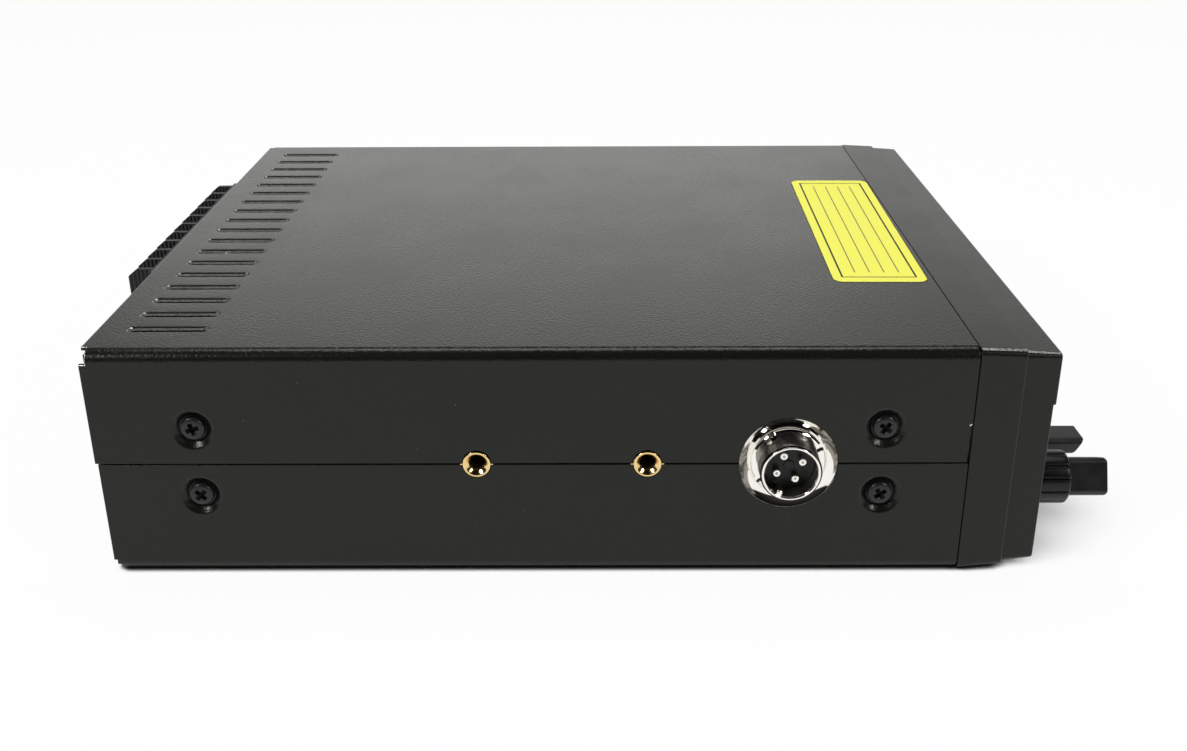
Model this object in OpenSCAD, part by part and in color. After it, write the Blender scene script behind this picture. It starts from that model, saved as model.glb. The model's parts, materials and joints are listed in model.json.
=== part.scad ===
// Mobile amateur radio transceiver, built as separate pieces
// Millimetres. X to the operator's right, Y to the rear, Z up, front faces -Y
// Origin at the middle of the case's underside

/* [Case] */
// width over the covers
case_w = 209; // [190:1:230]
// height over the covers
case_h = 63.6; // [60:0.1:70]
// depth of the covers
cover_d = 225; // [210:1:260]
// thickness of the cover sheet
sheet_t = 1.0; // [0.8:0.1:1.2]
// outside radius of the folds
bend_r = 3.2; // [1.8:0.1:4]
// height of the seam between the covers
seam_z = 32.1; // [31:0.1:34.4]
// gap at the seams
seam_gap = 0.3; // [0.2:0.05:0.5]
// how far the bottom cover stops short at the rear
rear_short = 0.7; // [0.2:0.1:1.2]
// size of the relief notches at the rear corners
relief = 1.6; // [1:0.1:2.2]

/* [Cover screws] */
// distance of the front screws from the bezel seam
screw_front = 22.1; // [18:0.1:26]
// distance of the rear screws from the rear edge
screw_rear = 26.2; // [20:0.1:32]
// height of the screws above and below the seam
screw_rise = 9.5; // [9:0.1:11]
// height of the screws' middle above the seam
screw_mid = 0.4; // [0:0.1:1]
// diameter of the formed dimples
dimple_d = 11.5; // [10.5:0.5:13]
// depth of the dimples
dimple_depth = 1.6; // [1.2:0.1:2]
// screw head diameter
head_d = 6.4; // [5.4:0.1:6.6]
// screw head height
head_h = 1.8; // [1.5:0.1:2.2]
// diameter of the heads of the chassis screws
frame_head_d = 6.2; // [5.4:0.1:6.4]
// screw shank diameter
screw_d = 3.0; // [2.5:0.1:3]
// screw shank length
screw_len = 6; // [5:0.5:6]

/* [Bracket nuts] */
// distance of the front nut from the bezel seam
nut_front = 82.6; // [80:0.1:88]
// distance between the two nuts
nut_pitch = 44; // [36:0.5:50]
// outside diameter
nut_od = 7.2; // [6.5:0.1:8]
// threaded bore diameter
nut_bore = 4.2; // [3.3:0.1:4.2]
// how far the nut stands out of the side
nut_proud = 0.4; // [0.2:0.1:1]

/* [Vents] */
// number of slots in the top cover
vent_count = 18; // [12:2:18]
// slot spacing
vent_pitch = 10.5; // [8:0.1:10.7]
// slot length
vent_len = 20.8; // [12:0.2:24]
// slot width
vent_w = 3.2; // [2:0.1:4]
// distance of the slots from the rear edge
vent_back = 8; // [6:0.5:14]

/* [Front bezel] */
// depth of the bezel
bezel_d = 20.7; // [19:0.1:24]
// distance of the crease from the seam
crease = 11.8; // [9:0.1:12]
// wall of the bezel's sides
bezel_wall = 2.2; // [1.8:0.1:2.3]
// thickness of the bezel's front wall
front_wall = 3; // [2.6:0.1:3.4]
// radius of the bezel's long edges
bezel_r = 1.9; // [0.6:0.1:2.5]
// drop of the top at the front
nose_drop = 1.7; // [1.4:0.1:2]
// rise of the bottom at the front
nose_rise = 2.8; // [2:0.1:3]
// draw-in of each side at the front
nose_in = 1.2; // [0.9:0.1:1.4]
// step all round at the crease
crease_step = 0.5; // [0.2:0.1:0.6]
// step between the upper and lower parts of the face
face_step = 0.6; // [0.3:0.1:0.9]
// height of the step
step_z = 48; // [46.4:0.1:49.4]

/* [Display] */
// window width
win_w = 92; // [80:1:94]
// window height
win_h = 22; // [18:0.5:22]
// window thickness
win_t = 1.6; // [1.2:0.1:1.8]
// sideways place of the display
disp_x = -3; // [-4:0.5:-1]
// height of the display's middle
disp_z = 43.2; // [42.6:0.1:43.8]

/* [Dual controls] */
// distance of the left control from the case's left side
dual_x = 16; // [15:0.5:18]
// spacing of the two controls
dual_pitch = 22; // [20:0.5:23]
// height of the controls
dual_z = 19.6; // [18.8:0.1:20.2]
// diameter of the outer ring
ring_d = 14.6; // [13:0.1:16]
// front of the ring, ahead of the bezel's front plane
ring_out = 10.2; // [9:0.1:13]
// width of the inner bar
bar_w = 10.3; // [9.6:0.1:10.4]
// thickness of the inner bar
bar_t = 4.8; // [4.6:0.1:5]
// length of the bar ahead of the ring
bar_out = 11.4; // [9:0.1:13]
// slant of the bar's end
bar_slant = 2.8; // [1:0.1:3]
// turn of the volume bar from upright
volume_turn = 24; // [0:1:90]
// turn of the microphone gain bar from upright
gain_turn = 90; // [0:1:90]
// outer shaft diameter
shaft_d = 6; // [5.5:0.1:6]
// inner shaft diameter
core_d = 3.5; // [3:0.1:3.5]
// running clearance of the shafts
run_gap = 0.05; // [0.03:0.01:0.09]

/* [Channel knob] */
// distance of the knob from the case's right side
chan_x = 29; // [27:0.5:31]
// height of the knob
chan_z = 28; // [27:0.5:31]
// diameter of the knob's skirt
chan_d = 33; // [30:0.5:37]
// length of the knob
chan_len = 14; // [12:0.5:17]

/* [Keys] */
// key width
key_w = 10.6; // [8:0.1:11]
// key height
key_h = 7; // [5:0.1:8]
// key spacing
key_pitch = 13.6; // [13.2:0.1:15.6]
// height of the row of keys
key_z = 17.6; // [16.2:0.1:18]
// how far the keys stand out
key_out = 1.6; // [1.2:0.1:2.2]
// travel of the keys
key_travel = 0.8; // [0.4:0.1:0.9]

/* [Microphone socket] */
// distance of the socket from the bezel seam
mic_front = 46.4; // [44:0.1:48.4]
// hole in the covers
mic_hole = 25.4; // [24:0.2:27]
// barrel diameter
barrel_d = 15.8; // [14.4:0.1:16]
// bore of the barrel
barrel_bore = 13.4; // [12.2:0.1:13.4]
// how far the barrel stands out of the side
barrel_out = 5.9; // [4.8:0.1:7]
// diameter of the pin circle
pin_circle = 7.2; // [7:0.1:7.6]
// pin diameter
pin_d = 1.5; // [1:0.1:1.6]

/* [Heat sink] */
// number of fins
fin_count = 11; // [8:1:11]
// fin spacing
fin_pitch = 9; // [7.4:0.1:9.4]
// fin thickness at the root
fin_t = 1.8; // [1.4:0.1:2.2]
// rear of the fins beyond the covers
sink_out = 11.5; // [10:0.1:14]
// sideways place of the heat sink
sink_x = 12; // [10:0.5:13]
// gap above the heat sink's top
sink_down = 3; // [1:0.5:4]

/* [Rear sockets] */
// antenna socket flange
ant_flange = 25; // [22:0.5:25.5]
// antenna socket barrel diameter
ant_d = 15.9; // [15:0.1:16]
// antenna socket barrel length
ant_len = 14; // [11:0.5:16]
// spacing of the two jacks
jack_pitch = 18; // [16:0.5:22]
// power socket body width
pow_w = 20; // [18:0.5:22]
// power socket body height
pow_h = 12; // [10:0.5:13]

/* [Label] */
// label width
label_w = 106; // [80:1:114]
// label depth
label_l = 27; // [20:0.5:28]
// distance of the label's middle from the bezel seam
label_front = 14.6; // [14.4:0.1:24]
// label thickness
label_t = 0.15; // [0.1:0.05:0.2]
// turn of the label
label_turn = -0.8; // [-0.8:0.1:0.8]

/* [Inside] */
// chassis sheet thickness
rail_t = 1.2; // [1:0.1:1.3]
// circuit board thickness
board_t = 1.6; // [1.2:0.1:1.6]
// height of the main board's underside
board_z = 35; // [34:0.2:35.6]
// speaker opening diameter
cone_d = 64; // [56:1:66]
// speaker depth
speaker_h = 26; // [22:0.5:28]
// speaker magnet diameter
mag_d = 40; // [36:1:44]
// speaker magnet height
mag_h = 11; // [9:0.5:12]
// coil can width
can_w = 10; // [8:0.5:12]
// coil can height
can_h = 13; // [10:0.5:16]
// capacitor diameter
cap_d = 14; // [10:0.5:16]
// capacitor height
cap_h = 20; // [14:0.5:21]

/* [Hidden] */
$fn = 48;

// Levels from front to rear
y_front = -(bezel_d + cover_d) / 2;
y_seam = y_front + bezel_d;
y_rear = y_seam + cover_d;
y_crease = y_seam - crease;
y_face = y_front + face_step;
y_in = y_face + front_wall;
crease_in = nose_in * 0.25;
crease_drop = nose_drop * 0.3;
crease_rise = nose_rise * 0.4;
bezel_floor = 2.2;
switch_h = 3;
flange_t = 1.0;
flange_gap = 0.2;
y_ctl = y_in + flange_gap + flange_t + key_travel + 0.4 + switch_h;
ctl_t = board_t;
nut_t = 2;
y_sub = y_ctl + ctl_t + nut_t + 1.4;
y_tab = y_sub + rail_t;
panel_t = 2;
y_panel = y_rear - rear_short - 0.3 - panel_t;
y_back = y_panel + panel_t;

// Half widths and heights
hw = case_w / 2;
x_floor = hw - dimple_depth;
x_rail = x_floor - sheet_t;
x_rail_in = x_rail - rail_t;
rail_lo = 3.8;
rail_hi = case_h - 4;
screw_r = screw_d / 2;
hole_r = screw_r + 0.05;
y_scr_f = y_seam + screw_front;
screw_z = seam_z + screw_mid;
y_scr_r = y_rear - screw_rear;
y_nuts = [y_seam + nut_front, y_seam + nut_front + nut_pitch];
y_mic = y_seam + mic_front;
head_gap = 0.1;
corner_x = x_rail_in - frame_head_d / 2 - head_gap;
corner_lo = crease_rise + bezel_floor + frame_head_d / 2 + head_gap;
corner_hi = case_h - 10;
board_top = board_z + board_t;
ledge_y = [y_scr_f + 1.5, (y_nuts[0] + y_nuts[1]) / 2, y_scr_r + 3];
tab_w = 6.5;
ledge_w = 8.5;
ledge_x = x_rail_in - ledge_w + 2.8;
board_f = y_tab + 21;
board_r = y_panel - 3.5;
dual1_x = -hw + dual_x;
dual2_x = dual1_x + dual_pitch;
knob_x = hw - chan_x;
y_knob = y_front - 0.4;
y_ring_back = y_face - 0.4;
y_ring = y_front - ring_out;
y_bar = y_ring - bar_out;
recess_d = 3;
y_recess = y_ring + recess_d;
recess_r = bar_w / 2 + 0.55;
hub_r = recess_r - 0.3;
bush_r = shaft_d / 2 + 0.5;
pot_w = 16;
pot_l = 13;
y_pot = y_tab + pot_l;
key_x = [for (i = [0:5]) disp_x + (i - 2.5) * key_pitch];

// Heat sink and rear sockets
sink_w = (fin_count - 1) * fin_pitch + fin_t + 6;
sink_hi = case_h - sink_down;
sink_lo = 6;
sink_base = 5;
y_fin = y_rear + sink_out;
ped_w = 62;
ped_lo = board_top + 4;
ped_hi = ped_lo + 16;
ped_in = 2.2;
tr_x = [for (i = [0:3]) sink_x + (i - 1.5) * 15];
tr_z = ped_lo + 10;
tr_t = 1.3;
sink_scr_x = ped_w / 2 + 4;
sink_scr_z = [14, case_h - 10];
ant_x = (sink_x + sink_w / 2 + corner_x - frame_head_d / 2) / 2;
ant_z = case_h - 24.5;
ant_scr = ant_flange * 0.36;
ant_r = ant_d / 2;
ant_bore = ant_r - 2.75;
flange_ant = 2.5;
pow_x = (sink_x - sink_w / 2 - corner_x + frame_head_d / 2) / 2;
pow_z = 17;
jack_x = [pow_x - jack_pitch / 2, pow_x + jack_pitch / 2];
jack_z = case_h - 17;

// Label
label_x = -2.3;
label_r = label_l / 9;

// Board pieces
can_pitch = [can_w + 7, can_w + 12];
can_at = [-hw * 0.46, board_f + 31.3];
cap_pitch = cap_d + 4;
cap_at = [hw * 0.306, board_r - 76];

// Speaker
spk_y = 50;
spk_rim = 39;
spk_z = sheet_t;

// Rod between two places along one axis
module rod_x(r, x0, x1, y, z) {
    translate([x0, y, z]) rotate([0, 90, 0]) cylinder(r = r, h = x1 - x0);
}
module rod_y(r, y0, y1, x, z) {
    translate([x, y1, z]) rotate([90, 0, 0]) cylinder(r = r, h = y1 - y0);
}
module rod_z(r, z0, z1, x, y) {
    translate([x, y, z0]) cylinder(r = r, h = z1 - z0);
}
// Box between two corners
module box(x0, x1, y0, y1, z0, z1) {
    translate([x0, y0, z0]) cube([x1 - x0, y1 - y0, z1 - z0]);
}
// Flat outlines drawn out along one axis
module prism_x(x0, x1) {
    translate([x0, 0, 0]) rotate([90, 0, 90]) linear_extrude(x1 - x0) children();
}
module prism_y(y0, y1) {
    translate([0, y1, 0]) rotate([90, 0, 0]) linear_extrude(y1 - y0) children();
}
module prism_z(z0, z1) {
    translate([0, 0, z0]) linear_extrude(z1 - z0) children();
}
// Turns a shape drawn up the Z axis to point out of one side
module side_at(s, y, z) {
    translate([0, y, z]) rotate([0, 90 * s, 0]) children();
}
// Turns a shape drawn up the Z axis to point to the front, with zero at y = 0
module front_at(x, z) {
    translate([x, 0, z]) rotate([90, 0, 0]) children();
}
// Rounded rectangle from squares and circles
module rrect(w, h, r) {
    square([w, h - 2 * r], center = true);
    square([w - 2 * r, h], center = true);
    for (i = [-1, 1]) for (j = [-1, 1])
        translate([i * (w / 2 - r), j * (h / 2 - r)]) circle(r);
}
// Slot along the second axis
module slot2(w, l) {
    square([w, l - w], center = true);
    for (j = [-1, 1]) translate([0, j * (l - w) / 2]) circle(w / 2, $fn = 24);
}

// Covers
module fold_outline() {
    difference() {
        translate([0, case_h / 2]) rrect(case_w, case_h, bend_r);
        translate([0, case_h / 2])
            rrect(case_w - 2 * sheet_t, case_h - 2 * sheet_t, bend_r - sheet_t);
    }
}
module cover_outline(z0, z1) {
    intersection() {
        fold_outline();
        translate([-case_w, z0]) square([2 * case_w, z1 - z0]);
    }
}
module dimple_out(z) {
    for (s = [-1, 1]) for (y = [y_scr_f, y_scr_r]) side_at(s, y, z)
        translate([0, 0, x_rail])
            cylinder(r1 = head_d / 2 + 1.0, r2 = dimple_d / 2 + 0.4, h = dimple_depth);
}
module dimple_cut(z) {
    for (s = [-1, 1]) for (y = [y_scr_f, y_scr_r]) side_at(s, y, z) {
        translate([0, 0, x_floor])
            cylinder(r1 = head_d / 2 + 0.6, r2 = dimple_d / 2, h = dimple_depth + 0.01);
        translate([0, 0, x_rail - 1]) cylinder(r = hole_r, h = sheet_t + 2);
    }
}
module seam_cuts() {
    for (s = [-1, 1]) for (y = y_nuts) side_at(s, y, seam_z)
        translate([0, 0, hw - 5]) cylinder(r = nut_od / 2 + 0.25, h = 10);
    side_at(-1, y_mic, seam_z) translate([0, 0, hw - 5]) cylinder(r = mic_hole / 2, h = 10);
}
module top_cover() {
    color([0.13, 0.13, 0.14]) difference() {
        union() {
            prism_y(y_seam + 0.2, y_rear)
                cover_outline(seam_z + seam_gap / 2, case_h + 1);
            dimple_out(screw_z + screw_rise);
        }
        dimple_cut(screw_z + screw_rise);
        seam_cuts();
        prism_z(case_h - sheet_t - 1, case_h + 1)
            for (i = [0:vent_count - 1])
                translate([(i - (vent_count - 1) / 2) * vent_pitch,
                    y_rear - vent_back - vent_len / 2]) slot2(vent_w, vent_len);
        for (s = [-1, 1]) translate([s * hw, y_rear, case_h])
            cube([2 * (bend_r + 0.3), 2 * relief, 2 * (bend_r + 0.3)], center = true);
    }
}
module grille() {
    for (i = [-4:4]) translate([i * 6.6, spk_y])
        slot2(2.6, 2 * sqrt(pow(cone_d / 2 - 2, 2) - pow(i * 6.6, 2)) - 2);
}
module bottom_cover() {
    color([0.13, 0.13, 0.14]) difference() {
        union() {
            prism_y(y_seam + 0.2, y_rear - rear_short)
                cover_outline(-1, seam_z - seam_gap / 2);
            dimple_out(screw_z - screw_rise);
        }
        dimple_cut(screw_z - screw_rise);
        seam_cuts();
        prism_z(-1, sheet_t + 1) grille();
        for (s = [-1, 1]) translate([s * hw, y_rear - rear_short, 0])
            cube([2 * (bend_r + 0.3), 2 * relief, 2 * (bend_r + 0.3)], center = true);
    }
}
// Cross-head pan screw, head outwards up the Z axis, seat at zero
module pan_screw() {
    difference() {
        union() {
            cylinder(r = head_d / 2, h = head_h * 0.6);
            translate([0, 0, head_h * 0.6])
                cylinder(r1 = head_d / 2, r2 = head_d / 2 - 0.8, h = head_h * 0.4);
            translate([0, 0, -screw_len]) cylinder(r = screw_r, h = screw_len);
        }
        for (a = [0, 90]) rotate([0, 0, a + 20])
            translate([0, 0, head_h]) cube([3.2, 0.8, 1.6], center = true);
    }
}
module cover_screws() {
    color([0.08, 0.08, 0.09])
        for (s = [-1, 1]) for (y = [y_scr_f, y_scr_r])
            for (z = [screw_z - screw_rise, screw_z + screw_rise])
                side_at(s, y, z) translate([0, 0, x_floor]) pan_screw();
}

// Chassis rails: plate, end tabs and board ledges
module rail(s) {
    xa = s > 0 ? x_rail_in : -x_rail;
    xb = s > 0 ? x_rail : -x_rail_in;
    ta = s > 0 ? x_rail_in - tab_w : -x_rail_in - 0.1;
    tb = s > 0 ? x_rail_in + 0.1 : -x_rail_in + tab_w;
    la = s > 0 ? x_rail_in - ledge_w : -x_rail_in - 0.1;
    lb = s > 0 ? x_rail_in + 0.1 : -x_rail_in + ledge_w;
    difference() {
        union() {
            box(xa, xb, y_tab, y_panel, rail_lo, rail_hi);
            for (z = [[rail_lo, corner_lo + 2.8], [corner_hi - 6, rail_hi]]) {
                box(ta, tb, y_tab, y_tab + rail_t, z[0], z[1]);
                box(ta, tb, y_panel - rail_t, y_panel, z[0], z[1]);
            }
            for (y = ledge_y) box(la, lb, y - 5, y + 5, board_z - rail_t, board_z);
        }
        for (y = [y_scr_f, y_scr_r]) for (z = [screw_z - screw_rise, screw_z + screw_rise])
            rod_x(hole_r, xa - 1, xb + 1, y, z);
        for (y = y_nuts) rod_x(nut_od / 2 + 0.05, xa - 1, xb + 1, y, seam_z);
        for (z = [corner_lo, corner_hi]) {
            rod_y(hole_r, y_tab - 1, y_tab + rail_t + 1, s * corner_x, z);
            rod_y(hole_r, y_panel - rail_t - 1, y_panel + 1, s * corner_x, z);
        }
        for (y = ledge_y) rod_z(hole_r, board_z - rail_t - 1, board_z + 1, s * ledge_x, y);
    }
}
module left_rail() {
    color([0.62, 0.63, 0.64]) difference() {
        rail(-1);
        rod_x(barrel_d / 2 + 0.1, -x_rail - 1, -x_rail_in + 1, y_mic, seam_z);
    }
}
module right_rail() {
    color([0.62, 0.63, 0.64]) rail(1);
}
module bracket_nuts() {
    color([0.72, 0.55, 0.25])
        for (s = [-1, 1]) for (y = y_nuts) side_at(s, y, seam_z) difference() {
            union() {
                translate([0, 0, x_rail_in - 2])
                    cylinder(r = nut_od / 2, h = hw + nut_proud - x_rail_in + 2);
                translate([0, 0, x_rail_in - 1.2]) cylinder(r = nut_od / 2 + 2, h = 1.2);
            }
            translate([0, 0, x_rail_in - 3]) cylinder(r = nut_bore / 2, h = 20);
            translate([0, 0, hw + nut_proud - 0.6])
                cylinder(r1 = nut_bore / 2, r2 = nut_bore / 2 + 0.65, h = 0.61);
        }
}

// Rear panel and heat sink
module rear_panel() {
    color([0.2, 0.2, 0.21]) difference() {
        box(-hw + sheet_t + 0.4, hw - sheet_t - 0.4, y_panel, y_back,
            sheet_t + 0.4, case_h - sheet_t - 0.4);
        for (s = [-1, 1]) for (z = [corner_lo, corner_hi])
            rod_y(hole_r, y_panel - 1, y_back + 1, s * corner_x, z);
        for (s = [-1, 1]) for (z = sink_scr_z)
            rod_y(hole_r, y_panel - 1, y_back + 1, sink_x + s * sink_scr_x, z);
        box(sink_x - ped_w / 2 - 0.3, sink_x + ped_w / 2 + 0.3, y_panel - 1, y_back + 1,
            ped_lo - 0.3, ped_hi + 0.3);
        rod_y(ant_bore + 1.1, y_panel - 1, y_back + 1, ant_x, ant_z);
        for (i = [-1, 1]) for (j = [-1, 1])
            rod_y(hole_r, y_panel - 1, y_back + 1, ant_x + i * ant_scr, ant_z + j * ant_scr);
        box(pow_x - pow_w / 2 - 0.2, pow_x + pow_w / 2 + 0.2, y_panel - 1, y_back + 1,
            pow_z - pow_h / 2 - 0.2, pow_z + pow_h / 2 + 0.2);
        for (x = jack_x) rod_y(3.1, y_panel - 1, y_back + 1, x, jack_z);
    }
}
// Outline of one ribbed fin, root at zero, tip at l
rib_n = 5;
rib_d = 0.22;
function rib_side(l, s) = [for (i = [0:2 * rib_n])
    [s * (fin_t / 2 - (i % 2) * rib_d - 0.35 * i / (2 * rib_n)), l * i / (2 * rib_n)]];
module fin_outline(l) {
    a = rib_side(l, 1);
    b = rib_side(l, -1);
    polygon(concat([[-fin_t / 2, -0.5], [fin_t / 2, -0.5]], a,
        [for (i = [2 * rib_n:-1:0]) b[i]]));
}
module heat_sink() {
    color([0.06, 0.06, 0.065]) difference() {
        union() {
            box(sink_x - sink_w / 2, sink_x + sink_w / 2, y_back, y_back + sink_base,
                sink_lo, sink_hi);
            box(sink_x - ped_w / 2, sink_x + ped_w / 2, y_panel - ped_in, y_back + 0.1,
                ped_lo, ped_hi);
            prism_z(sink_lo, sink_hi) for (i = [0:fin_count - 1])
                translate([sink_x + (i - (fin_count - 1) / 2) * fin_pitch, y_back + sink_base])
                    fin_outline(y_fin - y_back - sink_base);
        }
        for (z = [sink_lo, sink_hi]) translate([0, y_fin, z]) prism_x(-case_w, case_w)
            polygon([[-2.9, 0], [0, z > case_h / 2 ? -2.4 : 2.4], [3, 0],
                [0, z > case_h / 2 ? 3 : -3]]);
        for (s = [-1, 1]) for (z = sink_scr_z)
            rod_y(hole_r, y_back - 1, y_back + screw_len - panel_t + 0.4,
                sink_x + s * sink_scr_x, z);
        for (x = tr_x)
            rod_y(hole_r, y_panel - ped_in - 1, y_panel - ped_in + screw_len, x, tr_z);
    }
}
module top_label() {
    color([0.9, 0.82, 0.12])
        translate([label_x, y_seam + label_front, case_h]) rotate([0, 0, label_turn])
            linear_extrude(label_t) rrect(label_w, label_l, label_r);
}

// Front bezel
module bezel_slice(y, w, z0, z1, r) {
    translate([0, y + 0.005, (z0 + z1) / 2]) rotate([90, 0, 0])
        linear_extrude(0.01) rrect(w, z1 - z0, r, $fn = 32);
}
module bezel_body() {
    hull() {
        bezel_slice(y_seam - 0.005, case_w, 0, case_h, bezel_r);
        bezel_slice(y_crease, case_w - 2 * crease_in, crease_rise, case_h - crease_drop,
            bezel_r);
    }
    hull() {
        bezel_slice(y_crease + 0.01, case_w - 2 * (crease_in + crease_step),
            crease_rise + crease_step, case_h - crease_drop - crease_step, bezel_r);
        bezel_slice(y_front + 0.005, case_w - 2 * nose_in, nose_rise,
            case_h - nose_drop, bezel_r * 0.7);
    }
}
module front_bezel() {
    color([0.09, 0.09, 0.095]) difference() {
        union() {
            difference() {
                bezel_body();
                difference() {
                    box(-case_w, case_w, y_front - 1, y_face, -1, step_z);
                    box(disp_x - win_w / 2 - 4, disp_x + win_w / 2 + 4, y_front - 2,
                        y_face + 1, disp_z - win_h / 2 - 3.5, case_h);
                }
                box(-hw + bezel_wall + crease_in, hw - bezel_wall - crease_in, y_crease, y_seam + 1,
                    crease_rise + bezel_floor, case_h - bezel_wall - crease_drop);
                box(-hw + bezel_wall + nose_in, hw - bezel_wall - nose_in, y_in, y_seam,
                    nose_rise + bezel_floor, case_h - bezel_wall - nose_drop);
            }
            for (s = [-1, 1]) for (z = [corner_lo, corner_hi])
                rod_y(2.8, y_in - 0.5, y_sub, s * corner_x, z);
        }
        for (s = [-1, 1]) for (z = [corner_lo, corner_hi])
            rod_y(hole_r, y_sub - 6, y_sub + 1, s * corner_x, z);
        box(disp_x - win_w / 2 - 0.15, disp_x + win_w / 2 + 0.15, y_front - 1,
            y_front + win_t + 0.2, disp_z - win_h / 2 - 0.15, disp_z + win_h / 2 + 0.15);
        box(disp_x - win_w / 2 + 3, disp_x + win_w / 2 - 3, y_front - 1, y_in + 1,
            disp_z - win_h / 2 + 2.5, disp_z + win_h / 2 - 2.5);
        for (x = [dual1_x, dual2_x]) rod_y(shaft_d / 2 + 0.6, y_front - 1, y_in + 1, x, dual_z);
        rod_y(shaft_d / 2 + 0.6, y_front - 1, y_in + 1, knob_x, chan_z);
        for (x = key_x) translate([x, 0, key_z]) prism_y(y_front - 1, y_in + 1)
            rrect(key_w + 0.6, key_h + 0.6, 1.3);
    }
}
module front_subpanel() {
    color([0.62, 0.63, 0.64]) difference() {
        box(-x_rail, x_rail, y_sub, y_tab, rail_lo, rail_hi);
        for (s = [-1, 1]) for (z = [corner_lo, corner_hi])
            rod_y(hole_r, y_sub - 1, y_tab + 1, s * corner_x, z);
        for (x = [dual1_x, dual2_x]) rod_y(bush_r + 0.05, y_sub - 1, y_tab + 1, x, dual_z);
        rod_y(bush_r + 0.05, y_sub - 1, y_tab + 1, knob_x, chan_z);
        box(disp_x - 18, disp_x + 18, y_sub - 1, y_tab + 1, board_top - 1, board_top + 8);
    }
}
module display_window() {
    color([0.05, 0.06, 0.07])
        box(disp_x - win_w / 2, disp_x + win_w / 2, y_front + 0.2, y_front + 0.2 + win_t,
            disp_z - win_h / 2, disp_z + win_h / 2);
}
lcd_w = win_w + 2;
lcd_h = win_h + 3;
module lcd_frame() {
    color([0.55, 0.56, 0.57]) difference() {
        box(disp_x - lcd_w / 2, disp_x + lcd_w / 2, y_in + 0.2, y_ctl,
            disp_z - lcd_h / 2, disp_z + lcd_h / 2);
        box(disp_x - lcd_w / 2 + 3, disp_x + lcd_w / 2 - 3, y_in - 1, y_in + 1.7,
            disp_z - lcd_h / 2 + 3, disp_z + lcd_h / 2 - 3);
    }
}
module lcd_glass() {
    color([0.42, 0.47, 0.40])
        box(disp_x - lcd_w / 2 + 3.1, disp_x + lcd_w / 2 - 3.1, y_in + 0.5, y_in + 1.7,
            disp_z - lcd_h / 2 + 3.1, disp_z + lcd_h / 2 - 3.1);
}
module control_board() {
    color([0.08, 0.3, 0.16]) difference() {
        box(-corner_x + 3.3, corner_x - 3.3, y_ctl, y_ctl + ctl_t, 9, case_h - 6);
        for (x = [dual1_x, dual2_x])
            rod_y(bush_r + 0.7, y_ctl - 1, y_ctl + ctl_t + 1, x, dual_z);
        rod_y(bush_r + 0.7, y_ctl - 1, y_ctl + ctl_t + 1, knob_x, chan_z);
    }
}
pin_key = 1.5;
module key_switches() {
    color([0.1, 0.1, 0.1]) for (x = key_x) difference() {
        box(x - 3, x + 3, y_ctl - switch_h, y_ctl, key_z - 3, key_z + 3);
        rod_y(pin_key + 0.08, y_ctl - switch_h - 1, y_ctl - 0.4, x, key_z);
    }
}
// Push key: cap, flange behind the wall and pin into its switch
module button(i) {
    x = key_x[i - 1];
    ya = y_in + flange_gap;
    yb = ya + flange_t;
    color([0.2, 0.2, 0.21]) union() {
        translate([x, 0, key_z]) prism_y(y_face - key_out, ya + 0.2) rrect(key_w, key_h, 1);
        box(x - key_w / 2 - 1.1, x + key_w / 2 + 1.1, ya, yb, key_z - key_h / 2 - 1.1,
            key_z + key_h / 2 + 1.1);
        rod_y(pin_key, yb - 0.2, y_ctl - 0.6 - key_travel - 0.3, x, key_z);
    }
}
module button_1() { button(1); }
module button_2() { button(2); }
module button_3() { button(3); }
module button_4() { button(4); }
module button_5() { button(5); }
module button_6() { button(6); }

// Dual controls
module pot(x) {
    difference() {
        union() {
            box(x - pot_w / 2, x + pot_w / 2, y_tab, y_pot, dual_z - pot_w / 2,
                dual_z + pot_w / 2);
            rod_y(bush_r, y_sub - nut_t - 1, y_tab + 0.2, x, dual_z);
        }
        rod_y(shaft_d / 2 + run_gap, y_sub - 9, y_tab + 4, x, dual_z);
        rod_y(core_d / 2 + run_gap, y_tab + 3, y_tab + 9, x, dual_z);
    }
}
module volume_pot() {
    color([0.35, 0.36, 0.38]) pot(dual1_x);
}
module gain_pot() {
    color([0.35, 0.36, 0.38]) pot(dual2_x);
}
module channel_encoder() {
    color([0.15, 0.3, 0.2]) difference() {
        union() {
            box(knob_x - 7, knob_x + 7, y_tab, y_tab + 9, chan_z - 7, chan_z + 7);
            rod_y(bush_r, y_sub - nut_t - 1, y_tab + 0.2, knob_x, chan_z);
        }
        rod_y(shaft_d / 2 + run_gap, y_sub - 9, y_tab + 6, knob_x, chan_z);
    }
}
module panel_nuts() {
    color([0.7, 0.7, 0.7])
        for (p = [[dual1_x, dual_z], [dual2_x, dual_z], [knob_x, chan_z]])
            front_at(p[0], p[1]) translate([0, 0, -y_sub]) difference() {
                cylinder(r = bush_r + 2.4, h = nut_t, $fn = 6);
                translate([0, 0, -1]) cylinder(r = bush_r + 0.05, h = nut_t + 2);
            }
}
module outer_shaft(x) {
    difference() {
        rod_y(shaft_d / 2, y_recess, y_tab + 3.5, x, dual_z);
        rod_y(core_d / 2 + run_gap, y_recess - 1, y_tab + 5, x, dual_z);
    }
}
y_core = y_bar + bar_slant + 1.2;
module inner_shaft(x) {
    rod_y(core_d / 2, y_core, y_tab + 8.5, x, dual_z);
}
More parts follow.
